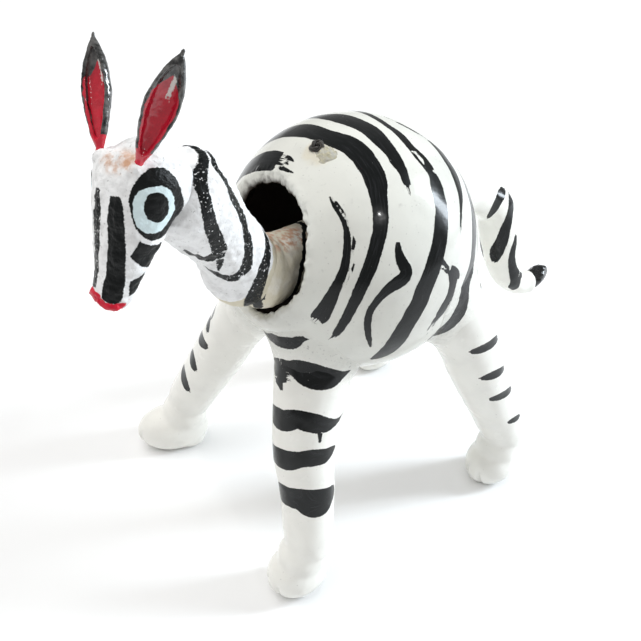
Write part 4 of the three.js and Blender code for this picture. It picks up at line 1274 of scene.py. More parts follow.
# Strokes on the neck: millimetres along from the head end, degrees round from the top, width
NECK_SIDE = [
    brush(
        (-1.6, -34, 0.8), (-2, 0, 1), (-2.6, 32, 1.1), (-2.9, 60, 1.2), (-2.1, 82, 1.6),
        (-0.1, 96, 1.9), (3, 105, 2.1), (7, 112, 2.3), (10.2, 119, 2.5), (12, 127, 1.8)
    ),
    brush(
        (10.6, 121, 2.6), (11.2, 138, 2), (10.2, 150, 1.6), (7.5, 157, 0.9), (5, 160, 0.2), dry=(0, 2)
    ),
    brush((12.6, 127, 1.5), (14.6, 137, 0.9), (16.2, 145, 0.2)),
    brush(
        (0.2, -34, 0.6), (-0.6, 0, 0.7), (-1.2, 20, 0.8), (-0.6, 47, 1), (2.8, 59, 1.2), (8, 62, 1.7),
        (12.8, 73, 2.2), (16.4, 90, 2.5), (18.6, 107, 2.6), (19.6, 118, 1.5)
    ),
    brush(
        (18.6, 107, 2.4), (19.2, 128, 1.9), (18, 146, 1.5), (15.6, 155, 0.9), (13.6, 161, 0.2),
        dry=(0, 2)
    ),
    brush(
        (20.6, 24, 1.6), (21.4, 44, 2.4), (21.7, 60, 2.8), (22.3, 79, 3), (23.5, 95, 3),
        (24.8, 108, 3), (26.4, 122, 2.8), (28.3, 136, 2.4), (30.4, 150, 1.2)
    ),
]
NECK_STROKES = [*NECK_SIDE, *other_side(without_start(NECK_SIDE))]
# Strokes on the plug: black along its rear edge, partly black paint and partly painted shadow of the gap to
# the gourd's lip; and the end of the neck's last stripe
PLUG_EDGE_AND_GAP_SHADOW = [
    brush(
        (44, -40, 1.2), (43.4, -8, 1), (39.4, 27, 1), (37, 52, 1.1), (35.3, 78, 1.2), (35.2, 104, 1.3),
        (35, 126, 1.3), (35.6, 148, 1.1), (38, 175, 0.8)
    ),
    brush((24.6, 106, 3.2), (26, 121, 3.6), (27.8, 136, 3.4), (30.2, 150, 1.8)),
]

# Paint on the face, as outlines about the neck's front end, and the direction each faces
EYE_FACES = (0.85, -0.5, 0.15)
EYE_BLOT = (
    (5.6, -7.6, 7.4), (6.4, -5.6, 6.7), (7.2, -4.6, 4.8), (7.1, -4, 2.3), (6.4, -3.7, -0.1),
    (6.4, -4.8, -2.2), (6.3, -7, -3.4), (6.2, -9.3, -3.6), (6.1, -11.3, -2.6), (5.5, -12.2, -0.8),
    (5, -12.1, 1.4), (4.7, -11.7, 3.6), (4.9, -10.6, 5.6), (5.2, -9.3, 6.7)
)
EYE_RING = (
    (6.7, -9, 5.1), (7.6, -7.1, 4.6), (7.6, -6, 2.7), (7, -5.8, 0.4), (6.8, -7, -1.4),
    (6.6, -8.9, -2.2), (6.5, -10.7, -1.9), (5.8, -11.8, -0.9), (5.3, -12, 1), (5.2, -11.5, 3.2),
    (5.5, -10.5, 4.6)
)
PUPIL = (
    (6.7, -9.3, 4.2), (7.3, -8, 4), (7.5, -7.1, 2.7), (7.4, -7.1, 1), (7.1, -8, -0.3),
    (6.9, -9.6, -0.4), (6.5, -10.6, 0.7), (6.4, -10.6, 2.4), (6.5, -10, 3.6)
)
CHEEK_FACES = (0.72, -0.68, -0.1)
CHEEK_DIAMOND = ((5.7, -12.2, -2.7), (5.6, -8.2, -5.2), (4.5, -10.9, -8.2), (4.7, -13.9, -5.0))
CHEEK_SLASH = ((4.0, -11.5, -8.5), (4.1, -14.5, -9.1), (3.7, -15.2, -11.6), (3.5, -12.6, -11.2))
NOSE_FACES = (0.3, -0.9, 0.3)
NOSE_BAR = (
    (1.6, -12.8, 4), (1.3, -13.7, 1.2), (1.5, -14.9, -2.4), (1.2, -16.3, -7), (0.9, -17.7, -11.4),
    (2.9, -16.4, -12.2), (4.1, -14.6, -6.1), (4.3, -13.8, -2.2), (4, -12.5, 2.2), (3.5, -12.3, 3.9)
)
FAR_NOSE_FACES = (-0.25, -0.92, 0.3)
FAR_NOSE_BAR = (
    (-0.6, -12.8, 4.4), (-0.2, -14, 0.6), (-0.3, -15.1, -3.2), (-0.5, -16.2, -7.1), (-0.6, -17, -10.2),
    (-2.3, -16.6, -10.2), (-2.3, -15.4, -6.6), (-2.1, -14.3, -2.6), (-1.9, -12.9, 1.6),
    (-1.7, -12.3, 4.4)
)
MOUTH_FACES = (0, -0.95, -0.3)
MOUTH_RED = (
    (-3.4, -16.6, -10.6), (-1.6, -17.6, -10.4), (0.3, -17.7, -10.7), (1.2, -17.5, -11.6),
    (3.4, -15.8, -12.3), (2.4, -15.4, -13.4), (-2.6, -15.6, -13.4)
)
# The bare brownish patch on the brow
BROW_PLACE = (1.6, -9.6, 8)
BROW_REACH = (4.6, 3.4, 1.9)
EAR_PLACE = Vector((5.4, -8, 9.8))

# Outline of an ear: share of its length, share of its width
EAR_SHAPE = (
    (-0.16, 0.15), (-0.08, 0.3), (0.02, 0.5), (0.2, 0.78), (0.45, 1), (0.68, 0.85), (0.88, 0.42), (1, 0)
)


def mirrored(outline, direction):
    """An outline and its direction on the other side of the face."""
    return [(-x, y, z) for x, y, z in outline], (-direction[0], direction[1], direction[2])


# Pieces


class FIGURINE_OT_gourd(bpy.types.Operator):
    """Builds the hollow gourd with its rough mouth, thread hole and painted stripes"""

    bl_idname = "figurine.gourd"
    bl_label = "Gourd body"

    def execute(self, context):
        settings = context.scene.figurine
        body = Millimetres(settings.body)
        centre = body_centre(body.radius)
        mouth = front_direction(settings.body.mouth_angle)
        bm = self.shell(body)
        aimed(bm, centre, mouth)
        self.open_thread_hole(bm, centre)
        points = positions(bm) - np.array(centre)
        away = np.linalg.norm(points, axis=1)
        canon = points / away[:, None] * body.radius
        coat = Coat(bm)
        coat.strokes("ink", canon, GOURD_STROKES, ball_place(body.radius))
        inward = body.radius - 0.5 * body.wall - away
        opening = np.arccos(np.clip(canon @ np.array(mouth) / body.radius, -1, 1))
        depth = (opening - math.asin(body.mouth_radius / body.radius)) * (body.radius - body.wall)
        # The inner skin and the cut edge of the wall take no strokes, and get darker inwards: painted shade
        # that deepens into the mouth, down to the dark inside
        inner = inward > 0.2
        lip = depth < 1.1
        coat.layer("inside")[:] = np.where(inner | lip, 1.6 * inward - 0.5 + np.clip(depth, 0, None), -6)
        coat.layer("ink")[inner | (lip & (inward > -0.8))] = FAR_OUTSIDE
        knot = np.array(front_direction(THREAD_HOLE_ANGLE)) * body.radius
        coat.layer("stain")[:] = 1 - smoothly(np.linalg.norm(canon - knot - [1.4, -0.6, 0], axis=1), 1.8, 5)
        material = gourd_finish(settings.paint)
        finished(bm, "gourd_body_painted", "gourd_body", ["gourd_shell"], material, coat)
        return {"FINISHED"}

    def shell(self, body):
        """Hollow ball about +Z with a rounded, chipped edge round its mouth."""
        half = math.asin(body.mouth_radius / body.radius)
        inner = body.radius - body.wall
        lip = body.wall / 2
        middle = body.radius - lip

        def arc(radius, start, end, spacing):
            count = max(2, round(abs(end - start) * radius / spacing))
            angles = np.linspace(start, end, count + 1)
            return [(max(0.0, radius * math.sin(a)), radius * math.cos(a)) for a in angles]

        profile = arc(body.radius, math.pi, half + lip / body.radius, 0.37)
        across = Vector((math.sin(half), math.cos(half)))
        over = Vector((-math.cos(half), math.sin(half)))
        for turn in np.radians(np.arange(15, 180, 15)):
            spot = across * (middle + lip * math.cos(turn)) + over * (lip * math.sin(turn) - lip)
            profile.append(tuple(spot))
        profile += arc(inner, half + lip / inner, math.pi, 0.8)
        bm = spun(profile, 370)
        roughened(bm, body.lumps, 15, 3)
        points = positions(bm)
        reach = np.maximum(np.hypot(points[:, 0], points[:, 1]), 1)
        ring = reach - middle * math.sin(half)
        edge = np.hypot(ring, points[:, 2] - middle * math.cos(half))
        # The lip is thicker inside at its upper right, the mouth wider below and at the lower left
        upper = smoothly((0.8 * points[:, 1] - 0.6 * points[:, 0]) / reach, 0.1, 0.7)
        inner_side = smoothly(body.radius - np.linalg.norm(points, axis=1), 0.2, 1.4)
        thicker = 1.1 * upper * inner_side * (1 - smoothly(edge, 1, 4)) / reach
        lower = smoothly(-points[:, 1] / reach, 0.2, 0.95) * (1 - smoothly(edge, 1.5, 8))
        corner = smoothly((0.82 * points[:, 0] - 0.57 * points[:, 1]) / reach, 0.62, 0.93)
        wider = np.maximum(2.2 * lower, 1.5 * corner * (1 - smoothly(edge, 1.5, 8)))
        points[:, :2] *= 1 - (thicker - wider / reach)[:, None]
        move_to(bm, points)
        share = 1 - smoothly(edge, 0.7, 2.4)
        roughened(bm, body.chips, 2.6, 11, share)
        roughened(bm, 0.6 * body.chips, 0.9, 17, share)
        return bm

    def open_thread_hole(self, bm, centre):
        """Opens the small round hole that the thread hangs through, with a wall all round."""
        gone = []
        for face in bm.faces:
            spot = face.calc_center_median()
            aside = math.hypot(spot.x - THREAD_TOP.x, spot.y - THREAD_TOP.y)
            if spot.z > centre.z and aside < HOLE_RADIUS:
                gone.append(face)
        bmesh.ops.delete(bm, geom=gone, context="FACES")
        edges = [edge for edge in bm.edges if edge.is_boundary]
        bmesh.ops.bridge_loops(bm, edges=edges)
        bmesh.ops.recalc_face_normals(bm, faces=bm.faces)
        bm.normal_update()


class LegBuild:
    """Places and shapes of one leg, about the gourd's middle."""

    def __init__(self, leg, settings):
        self.leg = leg
        self.sizes = Millimetres(settings.legs)
        body = Millimetres(settings.body)
        self.gourd_radius = body.radius
        self.centre = body_centre(body.radius)
        bearing, drop = math.radians(leg.bearing), math.radians(leg.drop)
        level = math.cos(drop)
        hip = Vector((leg.side * level * math.sin(bearing), -level * math.cos(bearing), -math.sin(drop)))
        self.hip = self.centre + hip * (body.radius - body.wall - 1)
        self.ankle = Vector((self.centre.x + leg.side * leg.out, self.centre.y + leg.along, 0))
        self.ankle.z = self.sizes.ankle_height
        self.axis = (self.ankle - self.hip).normalized()
        self.length = (self.ankle - self.hip).length
        self.limb = Limb(Route([self.hip, self.ankle]), self.sizes.radius, -1, leg.side)

    def round_bar(self):
        """The leg from inside the gourd's wall to its ankle."""
        radius, ankle, thigh = self.sizes.radius, self.sizes.ankle_radius, self.leg.thigh
        corners = [
            (0, -0.6 * radius), (0.7 * radius, -0.4 * radius), (radius + thigh, 0.05 * self.length),
            (radius + 0.9 * thigh, 0.32 * self.length), (radius + 0.4 * thigh, 0.5 * self.length),
            (0.5 * (radius + ankle), 0.78 * self.length), (ankle + 0.1, 0.95 * self.length),
            (0.8 * ankle, self.length + 0.6 * ankle), (0, self.length + ankle),
        ]
        return aimed(spun(smooth_profile(corners, 0.9), 48), self.hip, self.axis)

    def heel(self):
        """Upright post from the floor to the ankle."""
        sizes = self.sizes
        heel = sizes.heel_radius
        corners = [
            (0, 0), (0.8 * heel, 0), (heel, 0.2 * heel), (heel, 0.5 * sizes.ankle_height),
            (sizes.ankle_radius, sizes.ankle_height), (0, sizes.ankle_height),
        ]
        bm = spun(corners, 48)
        bmesh.ops.scale(bm, vec=(0.86, 0.86, 1), verts=bm.verts)
        bmesh.ops.translate(bm, vec=(self.ankle.x, self.ankle.y - 0.7, 0), verts=bm.verts)
        return bm

    def foot(self):
        """Long rounded foot, cut flat below."""
        sizes = self.sizes
        extra = self.leg.long_toes
        scale = (sizes.foot_width, sizes.foot_length + extra, sizes.foot_height)
        bm = ball(0.5, (0, 0, 0), scale)
        lift = sizes.foot_height / 2 - SOLE_CUT
        bmesh.ops.translate(bm, vec=(0, -FOOT_FORWARD - extra / 2, lift), verts=bm.verts)
        cut_off(bm, (0, 0, 0), (0, 0, -1))
        bmesh.ops.holes_fill(bm, edges=[edge for edge in bm.edges if edge.is_boundary])
        bm.transform(self.stand())
        return bm

    def instep(self):
        """Slope from the ankle to the toes."""
        bm = ball(0.5, (0, -1.4, 9.8), (10.6, 11, 12.5))
        bm.transform(self.stand())
        return bm

    def stand(self):
        """The move that puts a part of the foot under the ankle, turned out."""
        return Matrix.Translation((self.ankle.x, self.ankle.y, 0)) @ self.splay()

    def splay(self):
        """The turn of the toes to their side."""
        return Matrix.Rotation(self.leg.side * math.radians(self.leg.toes_out), 4, "Z")

    def bowed(self, points):
        """Bends a leg's points slightly forwards or rearwards along its length."""
        along = (points - np.array(self.hip)) @ np.array(self.axis)
        for depth, middle, spread in self.leg.bow:
            points[:, 1] += depth * np.exp(-(((along - middle) / spread) ** 2))
        return points

    def shape(self):
        """Limb, heel and foot as one smooth skin, seated in the gourd and flat on the floor."""
        bm = moulded(joined(self.round_bar(), self.heel(), self.foot(), self.instep()), 0.36, 12)
        roughened(bm, 0.2, 8, self.leg.bearing)
        points = self.bowed(positions(bm))
        toe_tip = FOOT_FORWARD + self.sizes.foot_length / 2
        turn = np.array(self.splay().to_3x3())
        local = (points - np.array([self.ankle.x, self.ankle.y, 0])) @ turn
        front = smoothly(-local[:, 1], toe_tip - 4.2, toe_tip - 1.2) * smoothly(-local[:, 2], -7.5, -4)
        for offset in (-TOE_SPACING, TOE_SPACING):
            groove = np.exp(-(((local[:, 0] - offset) / GROOVE_WIDTH) ** 2)) * front
            points -= GROOVE_DEPTH * groove[:, None] * normals_of(bm)
        points[:, 2] = np.maximum(points[:, 2], 0)
        move_to(bm, seated(points, self.centre, self.gourd_radius))
        return bm

    def canonical(self, points):
        """Straightened places of points near the leg, for its strokes."""
        middle, sideways, across = self.limb.frames(np.zeros(1))
        local = points - middle
        heading = self.limb.route.heading(np.zeros(1))
        straight = np.stack([local @ sideways[0], local @ across[0], local @ heading[0]], axis=-1)
        return self.limb.unrolled(straight)

    def collar(self):
        """Paste fillet between gourd and leg: a ring drawn round the leg and laid on both."""
        steps = 26
        profile = [(2, step / steps) for step in range(steps + 1)]
        profile += [(1, 1 - step / 3) for step in range(4)]
        bm = spun(profile, 170, closed=True)
        middle, sideways, across = self.limb.frames(np.zeros(1))
        heading = np.array(self.axis)
        sizes = self.sizes
        aside = middle[0] - np.array(self.centre)
        aside -= heading * (aside @ heading)
        points = []
        for vert in bm.verts:
            ring = math.hypot(vert.co.x, vert.co.y)
            share = vert.co.z
            direction = (sideways[0] * vert.co.x + across[0] * vert.co.y) / ring
            wave = noise.noise(Vector((direction * 2.2)) + Vector((self.leg.bearing, self.leg.out, 0)))
            flare = sizes.flare * (1 + 0.4 * wave)
            run = sizes.collar_height * (1 - 0.3 * wave)
            bare = sizes.radius + 0.9 * self.leg.thigh
            outward = soft_curve(share, bare + flare, bare + 0.4, bare - 0.1)
            lift = soft_curve(share, -0.12, 1.1, run)
            if ring < 1.5:
                outward -= 0.9
                lift -= 0.5 * (1 - share)
            beside = aside @ direction
            room = beside**2 - aside @ aside + self.gourd_radius**2 - COLLAR_SEAT**2
            outward = min(outward, math.sqrt(max(room, 0)) - beside)
            start = middle[0] + direction * outward
            along = self.seat_at(start, heading) + lift
            start = self.bowed(np.array([start + heading * along]))[0] - heading * along
            points.append(start + heading * (self.seat_at(start, heading) + lift))
        move_to(bm, points)
        bmesh.ops.recalc_face_normals(bm, faces=bm.faces)
        return bm

    def seat_at(self, start, heading):
        """How far along the leg's direction a line from this start leaves the gourd."""
        offset = start - np.array(self.centre)
        half = offset @ heading
        reach = half * half - offset @ offset + self.gourd_radius**2
        return math.sqrt(max(reach, 0)) - half


class FIGURINE_OT_legs(bpy.types.Operator):
    """Builds the four legs with their feet and the paste round their tops"""

    bl_idname = "figurine.legs"
    bl_label = "Legs"

    def execute(self, context):
        settings = context.scene.figurine
        wood = wood_finish(settings.paint)
        paste = paste_finish(settings.paint)
        for leg in LEGS:
            build = LegBuild(leg, settings)
            bm = build.shape()
            coat = self.coat(build, bm)
            name = f"leg_{leg.name}"
            finished(bm, f"{name}_painted", "gourd_body", [name], wood, coat)
            bm = build.collar()
            roughened(bm, 0.1, 2.4, leg.out)
            coat = self.coat(build, bm)
            name = f"leg_collar_{leg.name}"
            finished(bm, f"{name}_painted", "gourd_body", [name], paste, coat)
        return {"FINISHED"}

    def coat(self, build, bm):
        """Strokes of one leg and those of the gourd that run over its paste, and dirt between."""
        points = positions(bm)
        coat = Coat(bm)
        strokes = LEG_STROKES[build.leg.name]
        coat.strokes("ink", build.canonical(points), strokes, build.limb.place)
        away = points - np.array(build.centre)
        far = np.linalg.norm(away, axis=1)
        canon = away / far[:, None] * build.gourd_radius
        above = far - build.gourd_radius
        over = Coat(bm)
        over.strokes("ink", canon, GOURD_STROKES, ball_place(build.gourd_radius))
        over.layers["ink"][above > 2.6] = FAR_OUTSIDE
        stronger = over.layers["ink"] > coat.layers["ink"]
        for name, values in over.layers.items():
            coat.layers[name][stronger] = values[stronger]
        # Near the gourd the paste takes the gourd's darker white, which is partly painted shade
        coat.layer("near")[:] = 1 - smoothly(above, 0.3, 4.5)
        coat.layer("dirt")[:] = 0.8 * smoothly(above, -0.1, 0.5) * (1 - smoothly(above, 0.6, 2.2))
        return coat


class FIGURINE_OT_tail(bpy.types.Operator):
    """Builds the hooked tail and its black knob"""

    bl_idname = "figurine.tail"
    bl_label = "Tail"

    def execute(self, context):
        settings = context.scene.figurine
        sizes = Millimetres(settings.tail)
        radius = settings.body.radius / MM
        centre = body_centre(radius)
        rear = np.array(centre) + [0, radius, 0]
        route = Route(rear + np.array(TAIL_ROUTE))
        limb = Limb(route, sizes.radius)
        bm = self.bar(sizes, route.length)
        roughened(bm, 0.22, 7, 23)
        straight = positions(bm)
        coat = Coat(bm)
        coat.strokes("ink", limb.unrolled(straight), TAIL_STROKES, limb.place)
        coat.layer("dirt")[:] = 1 - smoothly(straight[:, 2], 5, 9)
        move_to(bm, seated(limb.bend(straight), centre, radius))
        material = wood_finish(settings.paint)
        finished(bm, "tail_painted", "gourd_body", ["tail"], material, coat)
        self.tuft(settings, sizes, route)
        return {"FINISHED"}

    def bar(self, sizes, length):
        """Tail along +Z, before it is bent."""
        root, radius, end = sizes.root_radius, sizes.radius, sizes.end_radius
        corners = [
            (0, -0.5), (0.9 * root, 0), (root, 0.08 * length), (root, 0.16 * length),
            (radius, 0.32 * length), (radius, 0.64 * length), (0.82 * radius, 0.8 * length),
            (end, 0.94 * length), (0.96 * end, 0.99 * length), (0, length + 0.4),
        ]
        return spun(smooth_profile(corners, 0.36), 88)

    def tuft(self, settings, sizes, route):
        """Pinched black knob that turns up at the tail's end."""
        end = Vector(route.at(np.array([route.length]))[0])
        heading = Vector(route.heading(np.array([route.length]))[0])
        up = heading.lerp(Vector((0, 0, 1)), 0.5).normalized()
        radius, length = sizes.tuft_radius, sizes.tuft_length
        corners = [
            (0, -1.2), (0.75 * radius, -0.8), (radius, 0.2 * length), (0.95 * radius, 0.45 * length),
            (0.65 * radius, 0.68 * length), (0.3 * radius, 0.82 * length), (0, 0.86 * length),
        ]
        bm = aimed(spun(smooth_profile(corners, 0.2), 72), end, up)
        roughened(bm, 0.4, 2.2, 5)
        material = tuft_finish(settings.paint)
        finished(bm, "tail_tuft_painted", "gourd_body", ["tail_tuft"], material)


class FIGURINE_OT_thread(bpy.types.Operator):
    """Builds the thread with its loop, the knot above the hole and the drop of glue"""

    bl_idname = "figurine.thread"
    bl_label = "Thread, knot and glue"

    def execute(self, context):
        settings = context.scene.figurine
        sizes = Millimetres(settings.thread)
        thread = thread_finish(settings.paint)
        self.hanging(sizes, thread)
        self.loop(sizes, thread)
        self.knot(settings, sizes, thread)
        return {"FINISHED"}

    def hanging(self, sizes, material):
        """Two strands twisted round each other, from the hole down to the loop's knot."""
        low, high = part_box("hanging_thread")
        bottom, top = low.z / MM, high.z / MM
        strands = []
        for start in (0, math.pi):
            points = []
            for share in np.linspace(0, 1, 12 * THREAD_TURNS + 1):
                angle = start + 2 * math.pi * THREAD_TURNS * share
                reach = 0.5 * sizes.radius
                spot = (math.cos(angle) * reach, math.sin(angle) * reach, bottom + share * (top - bottom))
                points.append(Vector((PIVOT.x, PIVOT.y, 0)) + Vector(spot))
            strands.append(swept(points, 0.5 * sizes.radius, 8))
        bm = joined(*strands)
        finished(bm, "hanging_thread_twisted", "thread", ["hanging_thread"], material)

    def loop(self, sizes, material):
        """Round loop that the wire eye hangs in, with the knot that closes it."""
        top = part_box("thread_loop")[1].z / MM
        knot = 0.8
        ring = []
        for angle in np.linspace(0, 2 * math.pi, 25)[:-1]:
            spot = (math.sin(angle) * sizes.loop_radius, 0, (1 - math.cos(angle)) * sizes.loop_radius)
            ring.append(HANGING @ Vector(spot))
        band = swept([*ring, ring[0]], sizes.radius, 10)
        bead = ball(knot, (PIVOT.x, PIVOT.y, top - knot))
        roughened(bead, 0.12, 0.5, 9)
        finished(joined(band, bead), "thread_loop_tied", "loop", ["thread_loop"], material)

    def knot(self, settings, sizes, material):
        """Ragged knot over the hole, and the drop of glue that spreads beside it."""
        radius = settings.body.radius / MM
        centre = body_centre(radius)
        outward = front_direction(THREAD_HOLE_ANGLE)
        points = []
        for angle in np.linspace(0, 4 * math.pi, 41):
            reach = 0.85 * sizes.knot_radius * (1 + 0.35 * math.cos(1.5 * angle))
            lift = 0.2 + 0.3 * math.sin(1.5 * angle)
            points.append(Vector((math.cos(angle) * reach, math.sin(angle) * reach, lift)))
        bm = aimed(swept(points, 0.32, 10), centre + outward * radius, outward)
        roughened(bm, 0.14, 0.45, 31)
        finished(bm, "thread_knot_tied", "gourd_body", ["thread_knot"], material)
        low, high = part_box("glue_bead")
        spot = (low + high) / 2 / MM
        away = (spot - centre).normalized()
        corners = [(0, -0.3), (2.2, -0.25), (1.6, 0.12), (1.15, 0.5), (0.65, 0.85), (0, 0.95)]
        scale = sizes.bead_radius / 1.2
        corners = [(scale * across, scale * along) for across, along in corners]
        away = (away + 0.018 * outward).normalized()
        bead = aimed(spun(smooth_profile(corners, 0.08), 64), centre + away * radius, away)
        roughened(bead, 0.25, 1.4, 13)
        glue = glue_finish(settings.paint)
        finished(bead, "glue_bead_set", "gourd_body", ["glue_bead"], glue)


class FIGURINE_OT_neck(bpy.types.Operator):
    """Builds the rough paste neck and the cream plug inside the gourd's mouth"""

    bl_idname = "figurine.neck"
    bl_label = "Neck and plug"

    def execute(self, context):
        settings = context.scene.figurine
        sizes = Millimetres(settings.neck)
        route = Route(NECK_ROUTE)
        mouth = np.argmin(np.linalg.norm(route.samples - np.array(NECK_ROUTE[4]), axis=1))
        length = route.marks[mouth]
        limb = Limb(route, sizes.middle_radius)
        self.neck(settings, sizes, limb, length)
        self.plug(settings, sizes, limb, length)
        return {"FINISHED"}

    def neck(self, settings, sizes, limb, length):
        """Paste sleeve from inside the head to the gourd's mouth."""
        head, middle, mouth = sizes.head_radius, sizes.middle_radius, sizes.mouth_radius
        corners = [
            (0, -0.5 * head), (0.6 * head, -0.4 * head), (0.92 * head, -0.13 * head),
            (head, 0.05 * length), (0.96 * head, 0.13 * length),
            (0.7 * head + 0.3 * middle, 0.22 * length), (0.3 * head + 0.7 * middle, 0.36 * length),
            (middle, 0.5 * length), (middle, 0.65 * length), (0.5 * (middle + mouth), 0.8 * length),
            (mouth, 0.96 * length), (0.96 * mouth, length + 0.2), (0, length + 0.3),
        ]
        bm = spun(smooth_profile(corners, 0.3), 150)
        straight = positions(bm)
        coat = Coat(bm)
        coat.strokes("ink", limb.unrolled(straight), NECK_STROKES, limb.place)
        upper = smoothly(-straight[:, 1], 1, 5)
        bare = smoothly(straight[:, 2], PASTE_END - 1.5 * upper, PASTE_END + 0.5)
        coat.layer("bare")[:] = bare
        coat.layer("stain")[:] = bare * smoothly(-straight[:, 1], 3.4, 5.6)
        coat.layer("worn")[:] = 1
        for absent in ("ring", "pupil", "red"):
            coat.layer(absent, FAR_OUTSIDE)
        # The paste sags below the neck's rear half and is a little higher on top behind the head
        along = straight[:, 2]
        below = smoothly(straight[:, 1], 0.5, 5) * smoothly(along, 17, 27) * (1 - smoothly(along, 27, 31))
        above = smoothly(-straight[:, 1], 1, 5) * (1 - smoothly(along, 4, 12))
        straight[:, 1] += 2.4 * below - 0.5 * above
        move_to(bm, straight)
        self.bent(bm, limb)
        smoother = 1 - 0.7 * smoothly(straight[:, 2], PASTE_END - 1, PASTE_END + 1)
        roughened(bm, 1.5 * sizes.roughness, 4.5, 41, smoother)
        roughened(bm, sizes.roughness, 1.1, 43, smoother)
        bm.transform(HANGING)
        material = rough_finish(settings.paint)
        finished(bm, "neck_painted", "head", ["neck"], material, coat)

    def bent(self, bm, limb):
        """Bends a bar along the neck and evens out the surface inside the bend."""
        move_to(bm, limb.bend(positions(bm)))
        evened(bm, 70)

    def plug(self, settings, sizes, limb, length):
        """Smoother end inside the gourd's mouth, a little fuller below and on its left."""
        start = PASTE_END + 0.6
        end = limb.route.length
        collar, radius = sizes.middle_radius, sizes.plug_radius
        corners = [
            (0, start), (0.92 * collar, start + 0.1), (collar, start + 0.8), (collar, length),
            (0.5 * (collar + radius), 0.5 * (length + end)), (radius, end - 2),
            (0.9 * radius, end - 0.6), (0.6 * radius, end), (0, end + 0.1),
        ]
        bm = spun(smooth_profile(corners, 0.32), 120)
        straight = positions(bm)
        # The front edge of the plug lies further back below
        slant = smoothly(straight[:, 1], 0, 5.6) * (1 - smoothly(straight[:, 2], 26, 36))
        straight[:, 2] += 4.3 * slant
        coat = Coat(bm)
        # Black rear edge, partly painted shadow of the gap to the gourd's lip
        coat.strokes("ink", limb.unrolled(straight), PLUG_EDGE_AND_GAP_SHADOW, limb.place)
        behind = 1 - smoothly(straight[:, 2], 40, 43)
        coat.layer("stain")[:] = smoothly(-straight[:, 1], 4.6, 5.8) * behind
        front = 1 - smoothly(straight[:, 2], 34, 39)
        straight[:, 1] += 1.6 * smoothly(straight[:, 1], 0.5, 5) * front
        straight[:, 0] += 0.3 * smoothly(straight[:, 0], 0.5, 5) * front
        move_to(bm, straight)
        self.bent(bm, limb)
        roughened(bm, 0.18, 3, 51)
        roughened(bm, 0.08, 1.2, 53)
        bm.transform(HANGING)
        material = plug_finish(settings.paint)
        finished(bm, "neck_plug_bare", "head", ["neck_plug"], material, coat)


class FIGURINE_OT_head(bpy.types.Operator):
    """Builds the head with its painted face"""

    bl_idname = "figurine.head"
    bl_label = "Head"

    def execute(self, context):
        settings = context.scene.figurine
        sizes = Millimetres(settings.head)
        bm = self.shape(sizes)
        coat = self.face(bm)
        roughened(bm, 0.2, 3.2, 61)
        roughened(bm, 0.12, 1.0, 63)
        lips = smoothly(coat.layer("red"), -0.4, 0.6)
        points = positions(bm)
        move_to(bm, points + 0.3 * lips[:, None] * normals_of(bm))
        roughened(bm, 0.5, 1.3, 67, lips)
        bm.transform(self.place(settings))
        material = rough_finish(settings.paint)
        finished(bm, "head_painted", "head", ["head"], material, coat)
        return {"FINISHED"}

    @staticmethod
    def place(settings):
        """Where the head sits on the neck and how it tilts."""
        tilt = Matrix.Rotation(settings.head.tilt, 4, "Y")
        return HANGING @ Matrix.Translation(HEAD_PLACE) @ tilt

    def shape(self, sizes):
        """Skull and tapering muzzle fused and smoothed, about the neck's front end."""
        skull = ball(sizes.skull_radius, (0, -4.8, 2.8), (1.08, 1, 1))
        slope = math.radians(60)
        tip, root, long = sizes.muzzle_tip, sizes.muzzle_radius, sizes.muzzle_length

        def taper(share):
            return root + share * (tip - root)

        corners = [
            (0, -0.5 * root), (0.8 * taper(0), -0.35 * root), (taper(0), 0), (taper(0.06), 0.2 * long),
            (taper(0.3), 0.4 * long), (taper(0.57), 0.58 * long), (taper(0.8), 0.74 * long),
            (taper(0.96), 0.89 * long), (0.75 * taper(1), 0.985 * long), (0, 1.01 * long),
        ]
        muzzle = spun(smooth_profile(corners, 0.8), 56)
        aimed(muzzle, Vector((0, -5.7, 4.8)), Vector((0, -math.cos(slope), -math.sin(slope))))
        bmesh.ops.scale(muzzle, vec=(1.28, 1, 1), verts=muzzle.verts)
        mounds = [ball(1.25, (side * 4.4, -9.2, 7.4)) for side in (LEFT, RIGHT)]
        return moulded(joined(skull, muzzle, *mounds), 0.25, 6)

    def face(self, bm):
        """Eyes, cheek marks, nose bars and mouth."""
        coat = Coat(bm)
        points = coat.points
        painted_on = [
            ("ink", EYE_BLOT, EYE_FACES, True),
            ("ring", EYE_RING, EYE_FACES, True),
            ("pupil", PUPIL, EYE_FACES, True),
            ("ink", CHEEK_DIAMOND, CHEEK_FACES, False),
            ("ink", CHEEK_SLASH, CHEEK_FACES, False),
        ]
        for layer, outline, direction, rounded in painted_on:
            coat.blot(layer, outline, direction, rounded)
            coat.blot(layer, *mirrored(outline, direction), rounded)
        coat.blot("ink", NOSE_BAR, NOSE_FACES)
        coat.blot("ink", FAR_NOSE_BAR, FAR_NOSE_FACES)
        coat.blot("red", MOUTH_RED, MOUTH_FACES)
        for absent in ("ink_along", "ink_across", "ink_dry", "bare"):
            coat.layer(absent)
        far_bar = (np.abs(points[:, 0] + 1.5) < 1.5) & (coat.normals[:, 1] < -0.2)
        coat.layer("worn")[:] = 1.0 * far_bar
        ink = coat.layer("ink")
        ink[far_bar] = np.minimum(ink[far_bar], 0.09)
        brow = np.linalg.norm((points - BROW_PLACE) / BROW_REACH, axis=1)
        coat.layer("stain")[:] = 1 - smoothly(brow, 0.5, 1.1)
        return coat


